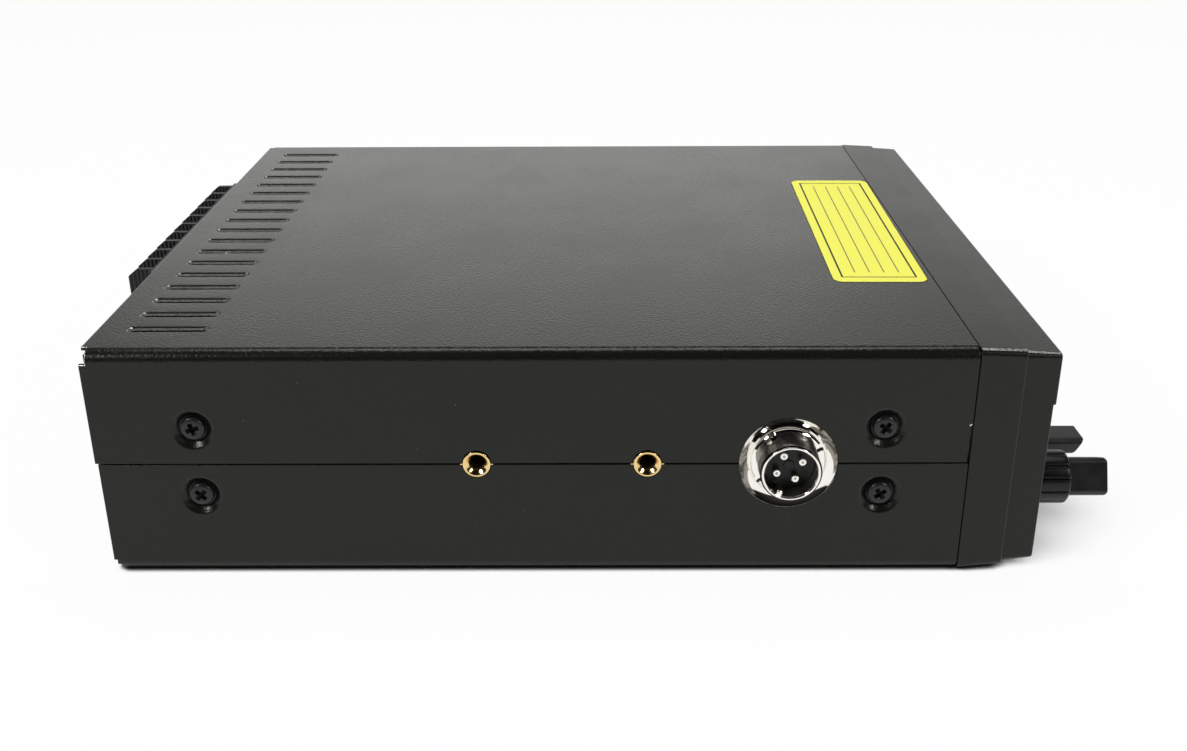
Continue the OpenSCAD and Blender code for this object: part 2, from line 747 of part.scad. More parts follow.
// Fluted ring with a recess for the bar's hub
flutes = 12;
flute_r = 0.5;
flute_lift = 0.1;
module ring(x) {
    l = y_ring_back - y_ring;
    front_at(x, dual_z) translate([0, 0, -y_ring_back]) difference() {
        intersection() {
            linear_extrude(l) difference() {
                circle(ring_d / 2);
                for (i = [0:flutes - 1]) rotate(i * 360 / flutes)
                    translate([ring_d / 2 + flute_lift, 0]) circle(flute_r, $fn = 16);
            }
            union() {
                cylinder(r = ring_d / 2 + 1, h = l - 1.1);
                translate([0, 0, l - 1.1])
                    cylinder(r1 = ring_d / 2, r2 = ring_d / 2 - 0.9, h = 1.1);
            }
        }
        translate([0, 0, l - recess_d]) cylinder(r = recess_r, h = recess_d + 1);
        translate([0, 0, -1]) cylinder(r = shaft_d / 2 + 0.04, h = l + 2);
    }
}
// Bar knob with a round hub and a slanted end
module bar(x, turn) {
    translate([x, 0, dual_z]) rotate([0, turn, 0]) difference() {
        union() {
            rod_y(hub_r, y_ring - 0.3, y_recess - 0.3, 0, 0);
            prism_z(-bar_w / 2, bar_w / 2)
                polygon([[-bar_t / 2, y_ring - 0.2], [-bar_t / 2, y_bar],
                    [bar_t / 2, y_bar + bar_slant], [bar_t / 2, y_ring - 0.2]]);
        }
        rod_y(core_d / 2 + 0.04, y_core - 0.2, y_recess + 1, 0, 0);
    }
}
module volume_knob() {
    color([0.07, 0.07, 0.075]) bar(dual1_x, volume_turn);
}
module volume_shaft() {
    color([0.75, 0.75, 0.76]) inner_shaft(dual1_x);
}
module squelch_ring() {
    color([0.07, 0.07, 0.075]) ring(dual1_x);
}
module squelch_shaft() {
    color([0.75, 0.75, 0.76]) outer_shaft(dual1_x);
}
module mic_gain_knob() {
    color([0.07, 0.07, 0.075]) bar(dual2_x, gain_turn);
}
module mic_gain_shaft() {
    color([0.75, 0.75, 0.76]) inner_shaft(dual2_x);
}
module rf_gain_ring() {
    color([0.07, 0.07, 0.075]) ring(dual2_x);
}
module rf_gain_shaft() {
    color([0.75, 0.75, 0.76]) outer_shaft(dual2_x);
}

// Channel knob: skirted core, ribbed grip and shaft
chan_r = chan_d / 2;
grip_r = chan_r - 1.8;
core_r = chan_r - 3.6;
module channel_knob() {
    color([0.08, 0.08, 0.085]) front_at(knob_x, chan_z) translate([0, 0, -y_knob])
        difference() {
            rotate_extrude() polygon([[0, 0], [chan_r - 0.6, 0], [chan_r, 0.6],
                [chan_r, 2], [chan_r - 0.8, 2.8], [core_r, 2.8], [core_r, chan_len - 2.6],
                [core_r - 1.2, chan_len], [0, chan_len]]);
            translate([0, core_r * 0.56, chan_len + 5.4]) sphere(r = 7);
            translate([0, 0, -1]) cylinder(r = shaft_d / 2 + 0.04, h = chan_len - 2);
        }
}
ribs = 36;
module channel_grip() {
    color([0.05, 0.05, 0.05]) front_at(knob_x, chan_z)
        translate([0, 0, -y_knob + 2.85]) linear_extrude(chan_len - 6) difference() {
            circle(grip_r);
            circle(core_r + 0.04);
            for (i = [0:ribs - 1]) rotate(i * 360 / ribs)
                translate([grip_r + 0.2, 0]) circle(0.7, $fn = 16);
        }
}
module channel_shaft() {
    color([0.75, 0.75, 0.76])
        rod_y(shaft_d / 2, y_knob - chan_len + 3.4, y_tab + 5.5, knob_x, chan_z);
}

// Microphone socket, drawn up the Z axis from the middle of the case
module mic_dish() {
    color([0.8, 0.8, 0.82]) side_at(-1, y_mic, seam_z) rotate_extrude($fn = 96)
        polygon([[barrel_d / 2 + 0.1, x_rail], [barrel_d / 2 + 2.5, x_rail],
            [mic_hole / 2 - 0.25, hw - 0.9], [mic_hole / 2 - 0.25, hw - 0.1],
            [mic_hole / 2 - 0.45, hw - 0.1], [barrel_d / 2 + 2.1, x_rail + 0.8],
            [barrel_d / 2 + 0.1, x_rail + 0.8]]);
}
module mic_nut() {
    color([0.8, 0.8, 0.82]) side_at(-1, y_mic, seam_z) difference() {
        rotate_extrude($fn = 96)
            polygon([[barrel_d / 2 + 0.03, x_rail + 0.8], [barrel_d / 2 + 1.8, x_rail + 0.8],
                [barrel_d / 2 + 1.8, x_rail + 2.4], [barrel_d / 2 + 1.3, x_rail + 2.9],
                [barrel_d / 2 + 0.03, x_rail + 2.9]]);
        for (a = [0, 90]) rotate([0, 0, a + 30]) translate([0, 0, x_rail + 2.9])
            cube([barrel_d + 6, 1.6, 1.8], center = true);
    }
}
insert_out = 0.5;
module mic_barrel() {
    color([0.8, 0.8, 0.82]) side_at(-1, y_mic, seam_z) {
        difference() {
            rotate_extrude($fn = 96)
                polygon([[0, x_rail_in - 4], [barrel_d / 2 - 0.4, x_rail_in - 4],
                    [barrel_d / 2 - 0.4, x_rail_in - 1.6], [barrel_d / 2 + 2, x_rail_in - 1.6],
                    [barrel_d / 2 + 2, x_rail_in], [barrel_d / 2 - 0.2, x_rail_in],
                    [barrel_d / 2 - 0.2, x_rail + 3.1], [barrel_d / 2, x_rail + 3.1],
                    [barrel_d / 2, hw + barrel_out - 0.6],
                    [barrel_d / 2 - 0.6, hw + barrel_out], [0, hw + barrel_out]]);
            translate([0, 0, x_rail_in - 5])
                cylinder(r = barrel_bore / 2, h = 40, $fn = 96);
        }
        rotate([0, 0, 165]) translate([barrel_bore / 2 - 0.9, -0.9, hw + insert_out])
            cube([1.2, 1.8, barrel_out - insert_out - 0.8]);
    }
}
pin_a = [for (i = [0:3]) 25 + 90 * i];
module mic_insert() {
    color([0.05, 0.05, 0.05]) side_at(-1, y_mic, seam_z) difference() {
        union() {
            translate([0, 0, x_rail_in - 7])
                cylinder(r = barrel_bore / 2 - 0.05, h = hw + insert_out - x_rail_in + 7);
            translate([0, 0, hw + insert_out - 0.1]) cylinder(r = 1.3, h = 0.5);
        }
        for (a = pin_a) rotate([0, 0, a]) translate([pin_circle / 2, 0, x_rail_in - 8])
            cylinder(r = pin_d / 2 + 0.04, h = 30, $fn = 24);
    }
}
module mic_pins() {
    color([0.85, 0.83, 0.78]) side_at(-1, y_mic, seam_z)
        for (a = pin_a) rotate([0, 0, a]) translate([pin_circle / 2, 0, 0]) {
            translate([0, 0, x_rail_in - 11])
                cylinder(r = pin_d / 2, h = hw + 2.1 - x_rail_in + 11, $fn = 24);
            translate([0, 0, hw + 2.1])
                cylinder(r1 = pin_d / 2, r2 = pin_d / 4, h = 0.5, $fn = 24);
        }
}

// Rear sockets
y_ant = y_back + flange_ant;
module antenna_shell() {
    color([0.78, 0.78, 0.76]) difference() {
        union() {
            translate([ant_x, 0, ant_z]) prism_y(y_back, y_ant)
                rrect(ant_flange, ant_flange, ant_flange / 10);
            rod_y(ant_r, y_ant - 0.1, y_ant + ant_len, ant_x, ant_z);
            rod_y(ant_bore + 1.05, y_panel - 3, y_back + 0.1, ant_x, ant_z);
        }
        rod_y(ant_bore, y_panel - 4, y_ant + ant_len + 1, ant_x, ant_z);
        for (i = [-1, 1]) for (j = [-1, 1])
            rod_y(hole_r, y_back - 1, y_ant + 1, ant_x + i * ant_scr, ant_z + j * ant_scr);
    }
}
module antenna_insulator() {
    color([0.92, 0.9, 0.84]) difference() {
        rod_y(ant_bore - 0.05, y_panel - 3, y_ant + ant_len - 1, ant_x, ant_z);
        rod_y(3.05, y_panel - 4, y_ant + ant_len, ant_x, ant_z);
    }
}
module antenna_contact() {
    color([0.82, 0.7, 0.4]) difference() {
        union() {
            rod_y(3, y_panel - 3, y_ant + ant_len - 1, ant_x, ant_z);
            rod_y(1.4, y_panel - 8, y_panel - 2.9, ant_x, ant_z);
        }
        rod_y(2, y_ant - 1, y_ant + ant_len, ant_x, ant_z);
    }
}
pow_d = 11;
pow_pin = pow_w * 0.28;
module power_socket() {
    color([0.07, 0.07, 0.075]) difference() {
        union() {
            box(pow_x - pow_w / 2, pow_x + pow_w / 2, y_back - 16, y_back + 0.1,
                pow_z - pow_h / 2, pow_z + pow_h / 2);
            translate([pow_x, 0, pow_z]) prism_y(y_back, y_back + 2)
                rrect(pow_w + 6, pow_h + 4, 2);
        }
        box(pow_x - pow_w / 2 + 1.8, pow_x + pow_w / 2 - 1.8, y_back + 2 - pow_d, y_back + 3,
            pow_z - pow_h / 2 + 1.6, pow_z + pow_h / 2 - 1.6);
        for (i = [-1, 1]) rod_y(1.24, y_back - 17, y_back, pow_x + i * pow_pin, pow_z);
    }
}
module power_pins() {
    color([0.82, 0.7, 0.4]) for (i = [-1, 1]) {
        rod_y(1.2, y_back - 20, y_back - 0.6, pow_x + i * pow_pin, pow_z);
        rod_y(0.8, y_back - 0.7, y_back - 0.1, pow_x + i * pow_pin, pow_z);
    }
}
module phone_jacks() {
    color([0.1, 0.1, 0.1]) for (x = jack_x) difference() {
        union() {
            box(x - 4.5, x + 4.5, y_panel - 14, y_panel, jack_z - 4.5, jack_z + 4.5);
            rod_y(3, y_panel - 0.1, y_back + 2.8, x, jack_z);
        }
        rod_y(1.8, y_panel - 11, y_back + 4, x, jack_z);
    }
}
module jack_nuts() {
    color([0.75, 0.75, 0.76]) for (x = jack_x) difference() {
        rod_y(4.4, y_back, y_back + 2, x, jack_z);
        rod_y(3.04, y_back - 1, y_back + 3, x, jack_z);
        for (a = [0, 90]) translate([x, y_back + 2, jack_z]) rotate([0, a, 0])
            cube([10, 1.4, 1.2], center = true);
    }
}

// Main board and what stands on it
module main_board() {
    color([0.08, 0.3, 0.16]) difference() {
        box(-x_rail_in + 3, x_rail_in - 3, board_f, board_r, board_z, board_top);
        box(-hw, -x_rail_in + 14.5, y_mic - 13, y_mic + 13, board_z - 1, board_top + 1);
        for (s = [-1, 1]) for (y = ledge_y)
            rod_z(hole_r, board_z - 1, board_top + 1, s * ledge_x, y);
    }
}
module m3_screw() {
    cylinder(r = frame_head_d / 2, h = 2, $fn = 32);
    translate([0, 0, -screw_len]) cylinder(r = screw_r, h = screw_len + 0.1, $fn = 32);
}
module screw_rearward(x, y, z) {
    translate([x, y, z]) rotate([-90, 0, 0]) m3_screw();
}
module screw_forward(x, y, z) {
    translate([x, y, z]) rotate([90, 0, 0]) m3_screw();
}
module chassis_screws() {
    color([0.7, 0.7, 0.68]) {
        for (s = [-1, 1]) for (z = [corner_lo, corner_hi]) {
            screw_rearward(s * corner_x, y_tab + rail_t, z);
            screw_rearward(s * corner_x, y_back, z);
        }
        for (s = [-1, 1]) for (y = ledge_y)
            translate([s * ledge_x, y, board_top]) m3_screw();
        for (s = [-1, 1]) for (z = sink_scr_z)
            screw_forward(sink_x + s * sink_scr_x, y_panel, z);
        for (x = tr_x) screw_forward(x, y_panel - ped_in - tr_t, tr_z);
        for (i = [-1, 1]) for (j = [-1, 1])
            screw_rearward(ant_x + i * ant_scr, y_ant, ant_z + j * ant_scr);
    }
}
module coil_cans() {
    color([0.72, 0.73, 0.74]) for (i = [0:2]) for (j = [0:2])
        translate([can_at[0] + i * can_pitch[0], can_at[1] + j * can_pitch[1], board_top])
            prism_z(0, can_h) rrect(can_w, can_w, can_w / 12);
}
module capacitors() {
    color([0.12, 0.14, 0.3]) for (i = [0:2])
        rod_z(cap_d / 2, board_top, board_top + cap_h, cap_at[0] + i * cap_pitch, cap_at[1]);
}
module power_transistors() {
    color([0.1, 0.1, 0.11]) for (x = tr_x) {
        ya = y_panel - ped_in;
        difference() {
            union() {
                box(x - 5, x + 5, ya - tr_t, ya, ped_lo + 0.5, tr_z + 3.2);
                box(x - 5, x + 5, ya - 4.5, ya - tr_t + 0.1, ped_lo + 0.5, tr_z - 3.4);
                for (i = [-1:1]) box(x + i * 2.54 - 0.4, x + i * 2.54 + 0.4, ya - 3, ya - 2.4,
                    board_top, ped_lo + 0.6);
            }
            rod_y(hole_r, ya - 6, ya + 1, x, tr_z);
        }
    }
}
module ribbon_cable() {
    ya = y_ctl + ctl_t;
    za = board_top + 3.4;
    color([0.6, 0.6, 0.58]) union() {
        box(disp_x - 15, disp_x + 15, ya, ya + 2.6, za - 2, za + 2.8);
        box(disp_x - 15, disp_x + 15, board_f + 2, board_f + 7, board_top, za + 2.8);
        prism_x(disp_x - 14, disp_x + 14)
            polygon([[ya + 2.5, za], [(ya + board_f) / 2, za - 1.6], [board_f + 2.1, za],
                [board_f + 2.1, za + 0.8], [(ya + board_f) / 2, za - 0.8],
                [ya + 2.5, za + 0.8]]);
    }
}

// Speaker over the grille in the bottom cover
cone_r = cone_d / 2;
mag_z = spk_z + speaker_h - mag_h;
mag_r = mag_d / 2;
module speaker_frame() {
    color([0.3, 0.3, 0.31]) translate([0, spk_y, 0]) difference() {
        union() {
            prism_z(spk_z, spk_z + 1.2) rrect(2 * spk_rim, 2 * spk_rim, 6);
            translate([0, 0, spk_z]) rotate_extrude($fn = 72)
                polygon([[cone_r, 0], [cone_r + 3, 0], [cone_r + 3, 5], [mag_r, mag_z - spk_z],
                    [mag_r / 2, mag_z - spk_z], [mag_r / 2, mag_z - spk_z - 1.2],
                    [mag_r - 0.6, mag_z - spk_z - 1.2], [cone_r + 1.6, 4.4], [cone_r, 4.4]]);
        }
        translate([0, 0, spk_z - 1]) cylinder(r = cone_r, h = 3);
    }
}
module speaker_cone() {
    color([0.15, 0.14, 0.13]) translate([0, spk_y, spk_z]) rotate_extrude($fn = 72)
        polygon([[0, 8.4], [8, 8.4], [9, 9.4], [cone_r - 3, 2.4], [cone_r - 0.1, 2.4],
            [cone_r - 0.1, 3.1], [cone_r - 2.8, 3.1], [9.2, 10.4], [7.6, 9.2], [0, 9.2]]);
}
module speaker_magnet() {
    color([0.25, 0.25, 0.26]) translate([0, spk_y, mag_z]) rotate_extrude($fn = 72)
        polygon([[0, 0], [mag_r - 2, 0], [mag_r - 2, 2], [mag_r, 2], [mag_r, mag_h - 2],
            [mag_r - 2, mag_h - 2], [mag_r - 2, mag_h], [0, mag_h]]);
}
module speaker_clips() {
    color([0.62, 0.63, 0.64]) translate([0, spk_y, 0])
        for (a = [0:3]) rotate([0, 0, 90 * a]) {
            box(spk_rim + 0.2, spk_rim + 6, -26, -20, spk_z, spk_z + 1.25);
            box(spk_rim - 3, spk_rim + 2.2, -26, -20, spk_z + 1.22, spk_z + 2.2);
        }
}

top_cover();
bottom_cover();
cover_screws();
left_rail();
right_rail();
bracket_nuts();
rear_panel();
heat_sink();
top_label();
front_bezel();
front_subpanel();
display_window();
lcd_frame();
lcd_glass();
control_board();
key_switches();
volume_pot();
gain_pot();
channel_encoder();
panel_nuts();
mic_dish();
mic_nut();
mic_barrel();
mic_insert();
mic_pins();
antenna_shell();
antenna_insulator();
antenna_contact();
power_socket();
power_pins();
phone_jacks();
jack_nuts();
main_board();
chassis_screws();
coil_cans();
capacitors();
power_transistors();
ribbon_cable();
speaker_frame();
speaker_cone();
speaker_magnet();
speaker_clips();
volume_knob();
volume_shaft();
squelch_ring();
squelch_shaft();
mic_gain_knob();
mic_gain_shaft();
rf_gain_ring();
rf_gain_shaft();
channel_knob();
channel_grip();
channel_shaft();
button_1();
button_2();
button_3();
button_4();
button_5();
button_6();
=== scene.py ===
"""Looks of a mobile amateur radio transceiver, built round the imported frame.

Builders work in millimetres in the frame's own axes: X to the operator's right, Y to the rear, Z up.
"""
import json
import math
import random

import bmesh
import bpy
from mathutils import Matrix, Vector
from mathutils.geometry import delaunay_2d_cdt

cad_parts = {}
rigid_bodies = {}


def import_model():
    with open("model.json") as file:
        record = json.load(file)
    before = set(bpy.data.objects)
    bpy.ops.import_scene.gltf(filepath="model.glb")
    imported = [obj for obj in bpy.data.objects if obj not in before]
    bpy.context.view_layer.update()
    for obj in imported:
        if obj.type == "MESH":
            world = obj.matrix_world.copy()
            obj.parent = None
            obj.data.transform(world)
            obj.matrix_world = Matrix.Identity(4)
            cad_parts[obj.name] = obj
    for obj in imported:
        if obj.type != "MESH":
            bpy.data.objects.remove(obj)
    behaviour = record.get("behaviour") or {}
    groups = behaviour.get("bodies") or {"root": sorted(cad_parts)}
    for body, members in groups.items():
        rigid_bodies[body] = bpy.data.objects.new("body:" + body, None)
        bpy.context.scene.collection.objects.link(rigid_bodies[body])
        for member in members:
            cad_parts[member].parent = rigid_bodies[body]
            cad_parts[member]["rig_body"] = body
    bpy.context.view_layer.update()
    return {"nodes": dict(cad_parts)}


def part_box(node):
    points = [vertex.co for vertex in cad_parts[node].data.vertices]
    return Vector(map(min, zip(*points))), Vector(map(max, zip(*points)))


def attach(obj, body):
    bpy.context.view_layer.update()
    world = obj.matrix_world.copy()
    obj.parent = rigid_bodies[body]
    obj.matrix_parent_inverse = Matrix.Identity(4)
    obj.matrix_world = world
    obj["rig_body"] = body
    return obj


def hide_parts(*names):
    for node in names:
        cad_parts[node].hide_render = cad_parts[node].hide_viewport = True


MM = 0.001
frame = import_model()
nodes = frame["nodes"]
dice = random.Random(7)


def box_mm(node):
    """Lowest and highest corner of a CAD node, in millimetres."""
    lo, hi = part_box(node)
    return lo / MM, hi / MM


def middle_xz(node):
    """Middle of a CAD node as seen from the front."""
    lo, hi = box_mm(node)
    return (lo.x + hi.x) / 2, (lo.z + hi.z) / 2


# Sizes taken from the frame
cover_lo, cover_hi = box_mm("top_cover")
under_lo, under_hi = box_mm("bottom_cover")
bezel_lo, bezel_hi = box_mm("front_bezel")
HALF_W = cover_hi.x
CASE_H = cover_hi.z
SEAM_Z = (cover_lo.z + under_hi.z) / 2
SHEET = 1.0
FOLD = 3.2
RELIEF = 1.6
GAP = 0.45
screw_lo, screw_hi = box_mm("cover_screws")
HEAD_R = 3.2
SCREW_Y = [screw_lo.y + HEAD_R, screw_hi.y - HEAD_R]
SCREW_Z = (screw_hi.z + screw_lo.z) / 2
SCREW_RISE = (screw_hi.z - screw_lo.z) / 2 - HEAD_R
DIMPLE = 1.6
nut_lo, nut_hi = box_mm("bracket_nuts")
NUT_FLANGE = 5.6
NUT_Y = [nut_lo.y + NUT_FLANGE, nut_hi.y - NUT_FLANGE]
NUT_R = 3.6
barrel_lo, barrel_hi = box_mm("mic_barrel")
MIC_Y = (barrel_lo.y + barrel_hi.y) / 2
MIC_HOLE = 12.7
BARREL_R = 7.9
BORE_R = 6.7


# Materials

FINE_SHARE = 0.55
NOISE_LOW, NOISE_HIGH = 0.3, 0.7
DUST = (0.32, 0.32, 0.31, 1)
DUST_PITCH = 6 * MM


def empty_shader(owner):
    """Clears the shader of a material or world and gives its node maker."""
    owner.use_nodes = True
    tree = owner.node_tree
    tree.nodes.clear()

    def add(kind, feeds=None, **values):
        """A node with its settings and inputs by name, where _ stands for a space.

        feeds links inputs, by name or number, to the outputs of other nodes.
        """
        node = tree.nodes.new(kind)
        for key, value in values.items():
            if hasattr(node, key):
                setattr(node, key, value)
            else:
                node.inputs[key.replace("_", " ")].default_value = value
        for into, (source, out) in (feeds or {}).items():
            tree.links.new(source.outputs[out], node.inputs[into])
        return node

    return add


def surface(name, color, rough, metal=0.0, specular=0.5, vary=0.15, patch=14.0, grain=0.5,
            relief=0.25, depth=0.03, rough_vary=0.06, stretch=(1, 1, 1), specks=0.0, detail=2.0,
            tint=(1, 1, 1), transmission=0.0):
    """A material whose colour, roughness and relief vary in the piece's own coordinates.

    patch and grain are the sizes of the broad and the fine variation, depth the height of the
    grain, all in millimetres. tint colours the reflection.
    """
    mat = bpy.data.materials.new(name)
    add = empty_shader(mat)
    place = add("ShaderNodeTexCoord")
    mapping = add("ShaderNodeMapping", {"Vector": (place, "Object")}, Scale=stretch)
    where = {"Vector": (mapping, "Vector")}
    broad = add("ShaderNodeTexNoise", where, Scale=1 / (patch * MM), Detail=4.0, Roughness=0.6)
    fine = add("ShaderNodeTexNoise", where, Scale=1 / (grain * MM), Detail=detail, Roughness=0.5)
    mixed = add("ShaderNodeMix", {2: (broad, "Fac"), 3: (fine, "Fac")}, data_type="FLOAT",
                Factor=FINE_SHARE)
    ramp = add("ShaderNodeValToRGB", {"Fac": (mixed, 0)})
    stops = [(NOISE_LOW, 1 - vary), (NOISE_HIGH, 1 + vary)]
    for stop, (position, shade) in zip(ramp.color_ramp.elements, stops):
        stop.position = position
        stop.color = [min(1, c * shade) for c in color] + [1]
    tone = (ramp, "Color")
    if specks:
        cells = add("ShaderNodeTexVoronoi", {"Vector": (place, "Object")}, Scale=1 / DUST_PITCH)
        near = add("ShaderNodeMath", {0: (cells, "Distance")}, operation="LESS_THAN")
        near.inputs[1].default_value = specks
        dust = add("ShaderNodeMix", {0: (near, 0), 6: tone}, data_type="RGBA")
        dust.inputs[7].default_value = DUST
        tone = (dust, 2)
    gloss = add("ShaderNodeMapRange", {"Value": (broad, "Fac")}, From_Min=NOISE_LOW, From_Max=NOISE_HIGH,
                To_Min=max(0.01, rough - rough_vary), To_Max=min(1, rough + rough_vary))
    feeds = {"Base Color": tone, "Roughness": (gloss, "Result")}
    if relief:
        bump = add("ShaderNodeBump", {"Height": (fine, "Fac")}, Strength=relief, Distance=depth * MM)
        feeds["Normal"] = (bump, "Normal")
    shader = add("ShaderNodeBsdfPrincipled", feeds, Metallic=metal, Specular_IOR_Level=specular,
                 Specular_Tint=(*tint, 1), Transmission_Weight=transmission)
    add("ShaderNodeOutputMaterial", {"Surface": (shader, "BSDF")})
    return mat


MATERIALS = {
    "paint": surface("cover_paint", (0.0064, 0.0072, 0.006), 0.27, specular=0.31, vary=0.22, patch=30,
                     grain=0.7, relief=1.0, depth=0.08, rough_vary=0.02, specks=0.016, detail=1.0,
                     tint=(0.97, 1.0, 0.92)),
    "raw_edge": surface("raw_edge", (0.62, 0.6, 0.57), 0.32, metal=1, vary=0.25, patch=2, grain=0.3),
    "bezel": surface("bezel_plastic", (0.0062, 0.007, 0.0058), 0.3, specular=0.31, vary=0.2, patch=20,
                     grain=0.65, relief=1.0, depth=0.065, rough_vary=0.02, specks=0.012, detail=1.0,
                     tint=(0.97, 1.0, 0.93)),
    # a lighter strip along the crease: a painted highlight line
    "bezel_crease_highlight": surface("bezel_crease_highlight", (0.014, 0.0145, 0.013), 0.4, specular=0.42, vary=0.4, patch=2,
                         grain=0.4),
    # lighter, glossy and speckled: wear specks together with a painted highlight on the bezel's upper side
    # edges
    "bezel_edge_wear_and_highlight": surface("bezel_edge_wear_and_highlight", (0.25, 0.245, 0.23), 0.28, specular=0.6, vary=0.98, patch=1.1,
                          grain=0.5, relief=0.5, depth=0.06),
    "cut_edge": surface("cut_edge", (0.42, 0.42, 0.4), 0.45, metal=0.4, vary=0.7, patch=0.9, grain=0.4),
    "screw": surface("black_screw", (0.01, 0.01, 0.01), 0.3, specular=0.42, vary=0.3, patch=2,
                     grain=0.3, relief=0.2),
    # near black and dull: painted shade down in the screw recesses
    "recess": surface("screw_recess_painted_shade", (0.002, 0.002, 0.002), 0.5, specular=0.1, vary=0.3, patch=2,
                      grain=0.3),
    "chrome": surface("chrome", (0.9, 0.88, 0.83), 0.05, metal=1, vary=0.04, patch=4, grain=0.4,
                      relief=0.03, depth=0.01, rough_vary=0.03),
    "brass": surface("brass", (0.86, 0.62, 0.28), 0.16, metal=1, vary=0.12, patch=2, grain=0.25,
                     relief=0.1, depth=0.01),
    # darker than the chrome: painted shade for the dark surroundings the barrel's thread reflects
    "thread": surface("thread_metal_painted_shade", (0.34, 0.32, 0.29), 0.22, metal=1, vary=0.2, patch=3, grain=0.4,
                      relief=0.1, depth=0.01),
    # dark brass: painted shade down the threaded bores of the nuts
    "bore": surface("bore_brass_painted_shade", (0.09, 0.055, 0.02), 0.5, metal=0.6, vary=0.3, patch=2, grain=0.3),
    "insert": surface("black_insert", (0.006, 0.006, 0.0055), 0.36, specular=0.3, vary=0.3, patch=3,
                      grain=0.4, relief=0.15),
    "anodised": surface("black_anodised", (0.009, 0.009, 0.0095), 0.42, specular=0.34, vary=0.25, patch=9,
                        grain=0.3, relief=0.3, depth=0.02, stretch=(1, 1, 0.12)),
    "vinyl": surface("label_vinyl", (0.97, 0.95, 0.13), 0.5, specular=0.12, vary=0.02, patch=12,
                     grain=0.6, relief=0.06),
    # dark brown: the painted shadow round the label's rim
    "label_shadow_edge": surface("label_shadow_edge", (0.03, 0.022, 0.008), 0.6, specular=0.2, vary=0.4, patch=2,
                          grain=0.4),
    "ink": surface("printed_ink", (0.022, 0.022, 0.012), 0.5, specular=0.2, vary=0.35, patch=1.2,
                   grain=0.3),
    "thin_ink": surface("thin_ink", (0.2, 0.19, 0.05), 0.5, vary=0.5, patch=1.2, grain=0.3),
    "white_ink": surface("white_ink", (0.72, 0.72, 0.7), 0.5, vary=0.08, patch=2, grain=0.3),
    "knob": surface("knob_plastic", (0.011, 0.0115, 0.0105), 0.36, specular=0.46, vary=0.25, patch=6,
                    grain=0.3, relief=0.18, depth=0.015),
    "ring": surface("ring_plastic", (0.004, 0.0044, 0.004), 0.3, specular=0.32, vary=0.25, patch=6,
                    grain=0.3, relief=0.18, depth=0.015),
    "rubber": surface("grip_rubber", (0.013, 0.013, 0.013), 0.62, specular=0.3, vary=0.25, patch=4,
                      grain=0.25, relief=0.3),
    "key": surface("key_plastic", (0.05, 0.05, 0.052), 0.4, specular=0.45, vary=0.15, patch=5, grain=0.35,
                   relief=0.2, depth=0.02),
    "window": surface("smoked_window", (0.52, 0.55, 0.56), 0.05, specular=0.5, vary=0.05, patch=20,
                      grain=2, relief=0.0, rough_vary=0.02, transmission=0.85),
    "lcd": surface("lcd_glass", (0.3, 0.36, 0.27), 0.25, vary=0.05, patch=20, grain=1, relief=0.05),
    "lcd_ink": surface("lcd_segments", (0.02, 0.024, 0.02), 0.4, specular=0.2, vary=0.05, patch=5,
                       grain=1),
    "plated": surface("plated_steel", (0.6, 0.6, 0.57), 0.34, metal=1, vary=0.1, patch=10, grain=0.5,
                      relief=0.15, stretch=(1, 0.15, 1)),
    "cast": surface("pot_metal", (0.45, 0.46, 0.47), 0.4, metal=1, vary=0.12, patch=5, grain=0.4),
    "turned": surface("shaft_metal", (0.72, 0.72, 0.73), 0.25, metal=1, vary=0.08, patch=3, grain=0.2,
                      stretch=(0.2, 4, 0.2)),
    "board": surface("circuit_board", (0.03, 0.16, 0.07), 0.4, vary=0.35, patch=3, grain=0.8),
    "component": surface("black_plastic", (0.03, 0.03, 0.032), 0.5, vary=0.25, patch=4, grain=0.4),
    "white_plastic": surface("white_plastic", (0.82, 0.8, 0.72), 0.4, vary=0.06, patch=4, grain=0.4),
    "ribbon": surface("ribbon", (0.5, 0.5, 0.48), 0.5, vary=0.25, patch=1.3, grain=0.5,
                      stretch=(1, 0.05, 0.05)),
    "speaker_steel": surface("speaker_steel", (0.1, 0.1, 0.105), 0.45, metal=0.4, vary=0.2, patch=6),
    "cone": surface("cone_paper", (0.035, 0.034, 0.032), 0.85, vary=0.3, patch=3, grain=0.4, relief=0.5),
    "ferrite": surface("ferrite", (0.05, 0.05, 0.052), 0.7, vary=0.25, patch=4, grain=0.4, relief=0.4),
}


# Mesh helpers

def new_object(name, data):
    """A new object in the scene."""
    obj = bpy.data.objects.new(name, data)
    bpy.context.scene.collection.objects.link(obj)
    return obj


def piece(bm, name, body, slot, mats, replaces=(), sharp=38.0, weld=0.0):
    """Turns a mesh in millimetres into a finished piece that rides on a body."""
    if weld:
        bmesh.ops.remove_doubles(bm, verts=bm.verts, dist=weld)
    bmesh.ops.recalc_face_normals(bm, faces=bm.faces)
    mesh = bpy.data.meshes.new(name)
    bm.to_mesh(mesh)
    bm.free()
    mesh.transform(Matrix.Scale(MM, 4))
    for mat in mats:
        mesh.materials.append(MATERIALS[mat])
    mesh.polygons.foreach_set("use_smooth", [True] * len(mesh.polygons))
    mesh.set_sharp_from_angle(angle=math.radians(sharp))
    obj = new_object(name, mesh)
    weighted = obj.modifiers.new("weighted", "WEIGHTED_NORMAL")
    weighted.keep_sharp = True
    weighted.weight = 100
    bpy.context.view_layer.update()
    shown = obj.evaluated_get(bpy.context.evaluated_depsgraph_get())
    obj.data = bpy.data.meshes.new_from_object(shown)
    obj.modifiers.clear()
    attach(obj, body)
    if replaces:
        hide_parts(*replaces)


def stand_in(bm, node, slot, mats, **finish):
    """A piece that stands for a CAD node and rides on the node's body."""
    piece(bm, node + "_look", nodes[node]["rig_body"], slot, mats, replaces=[node], **finish)


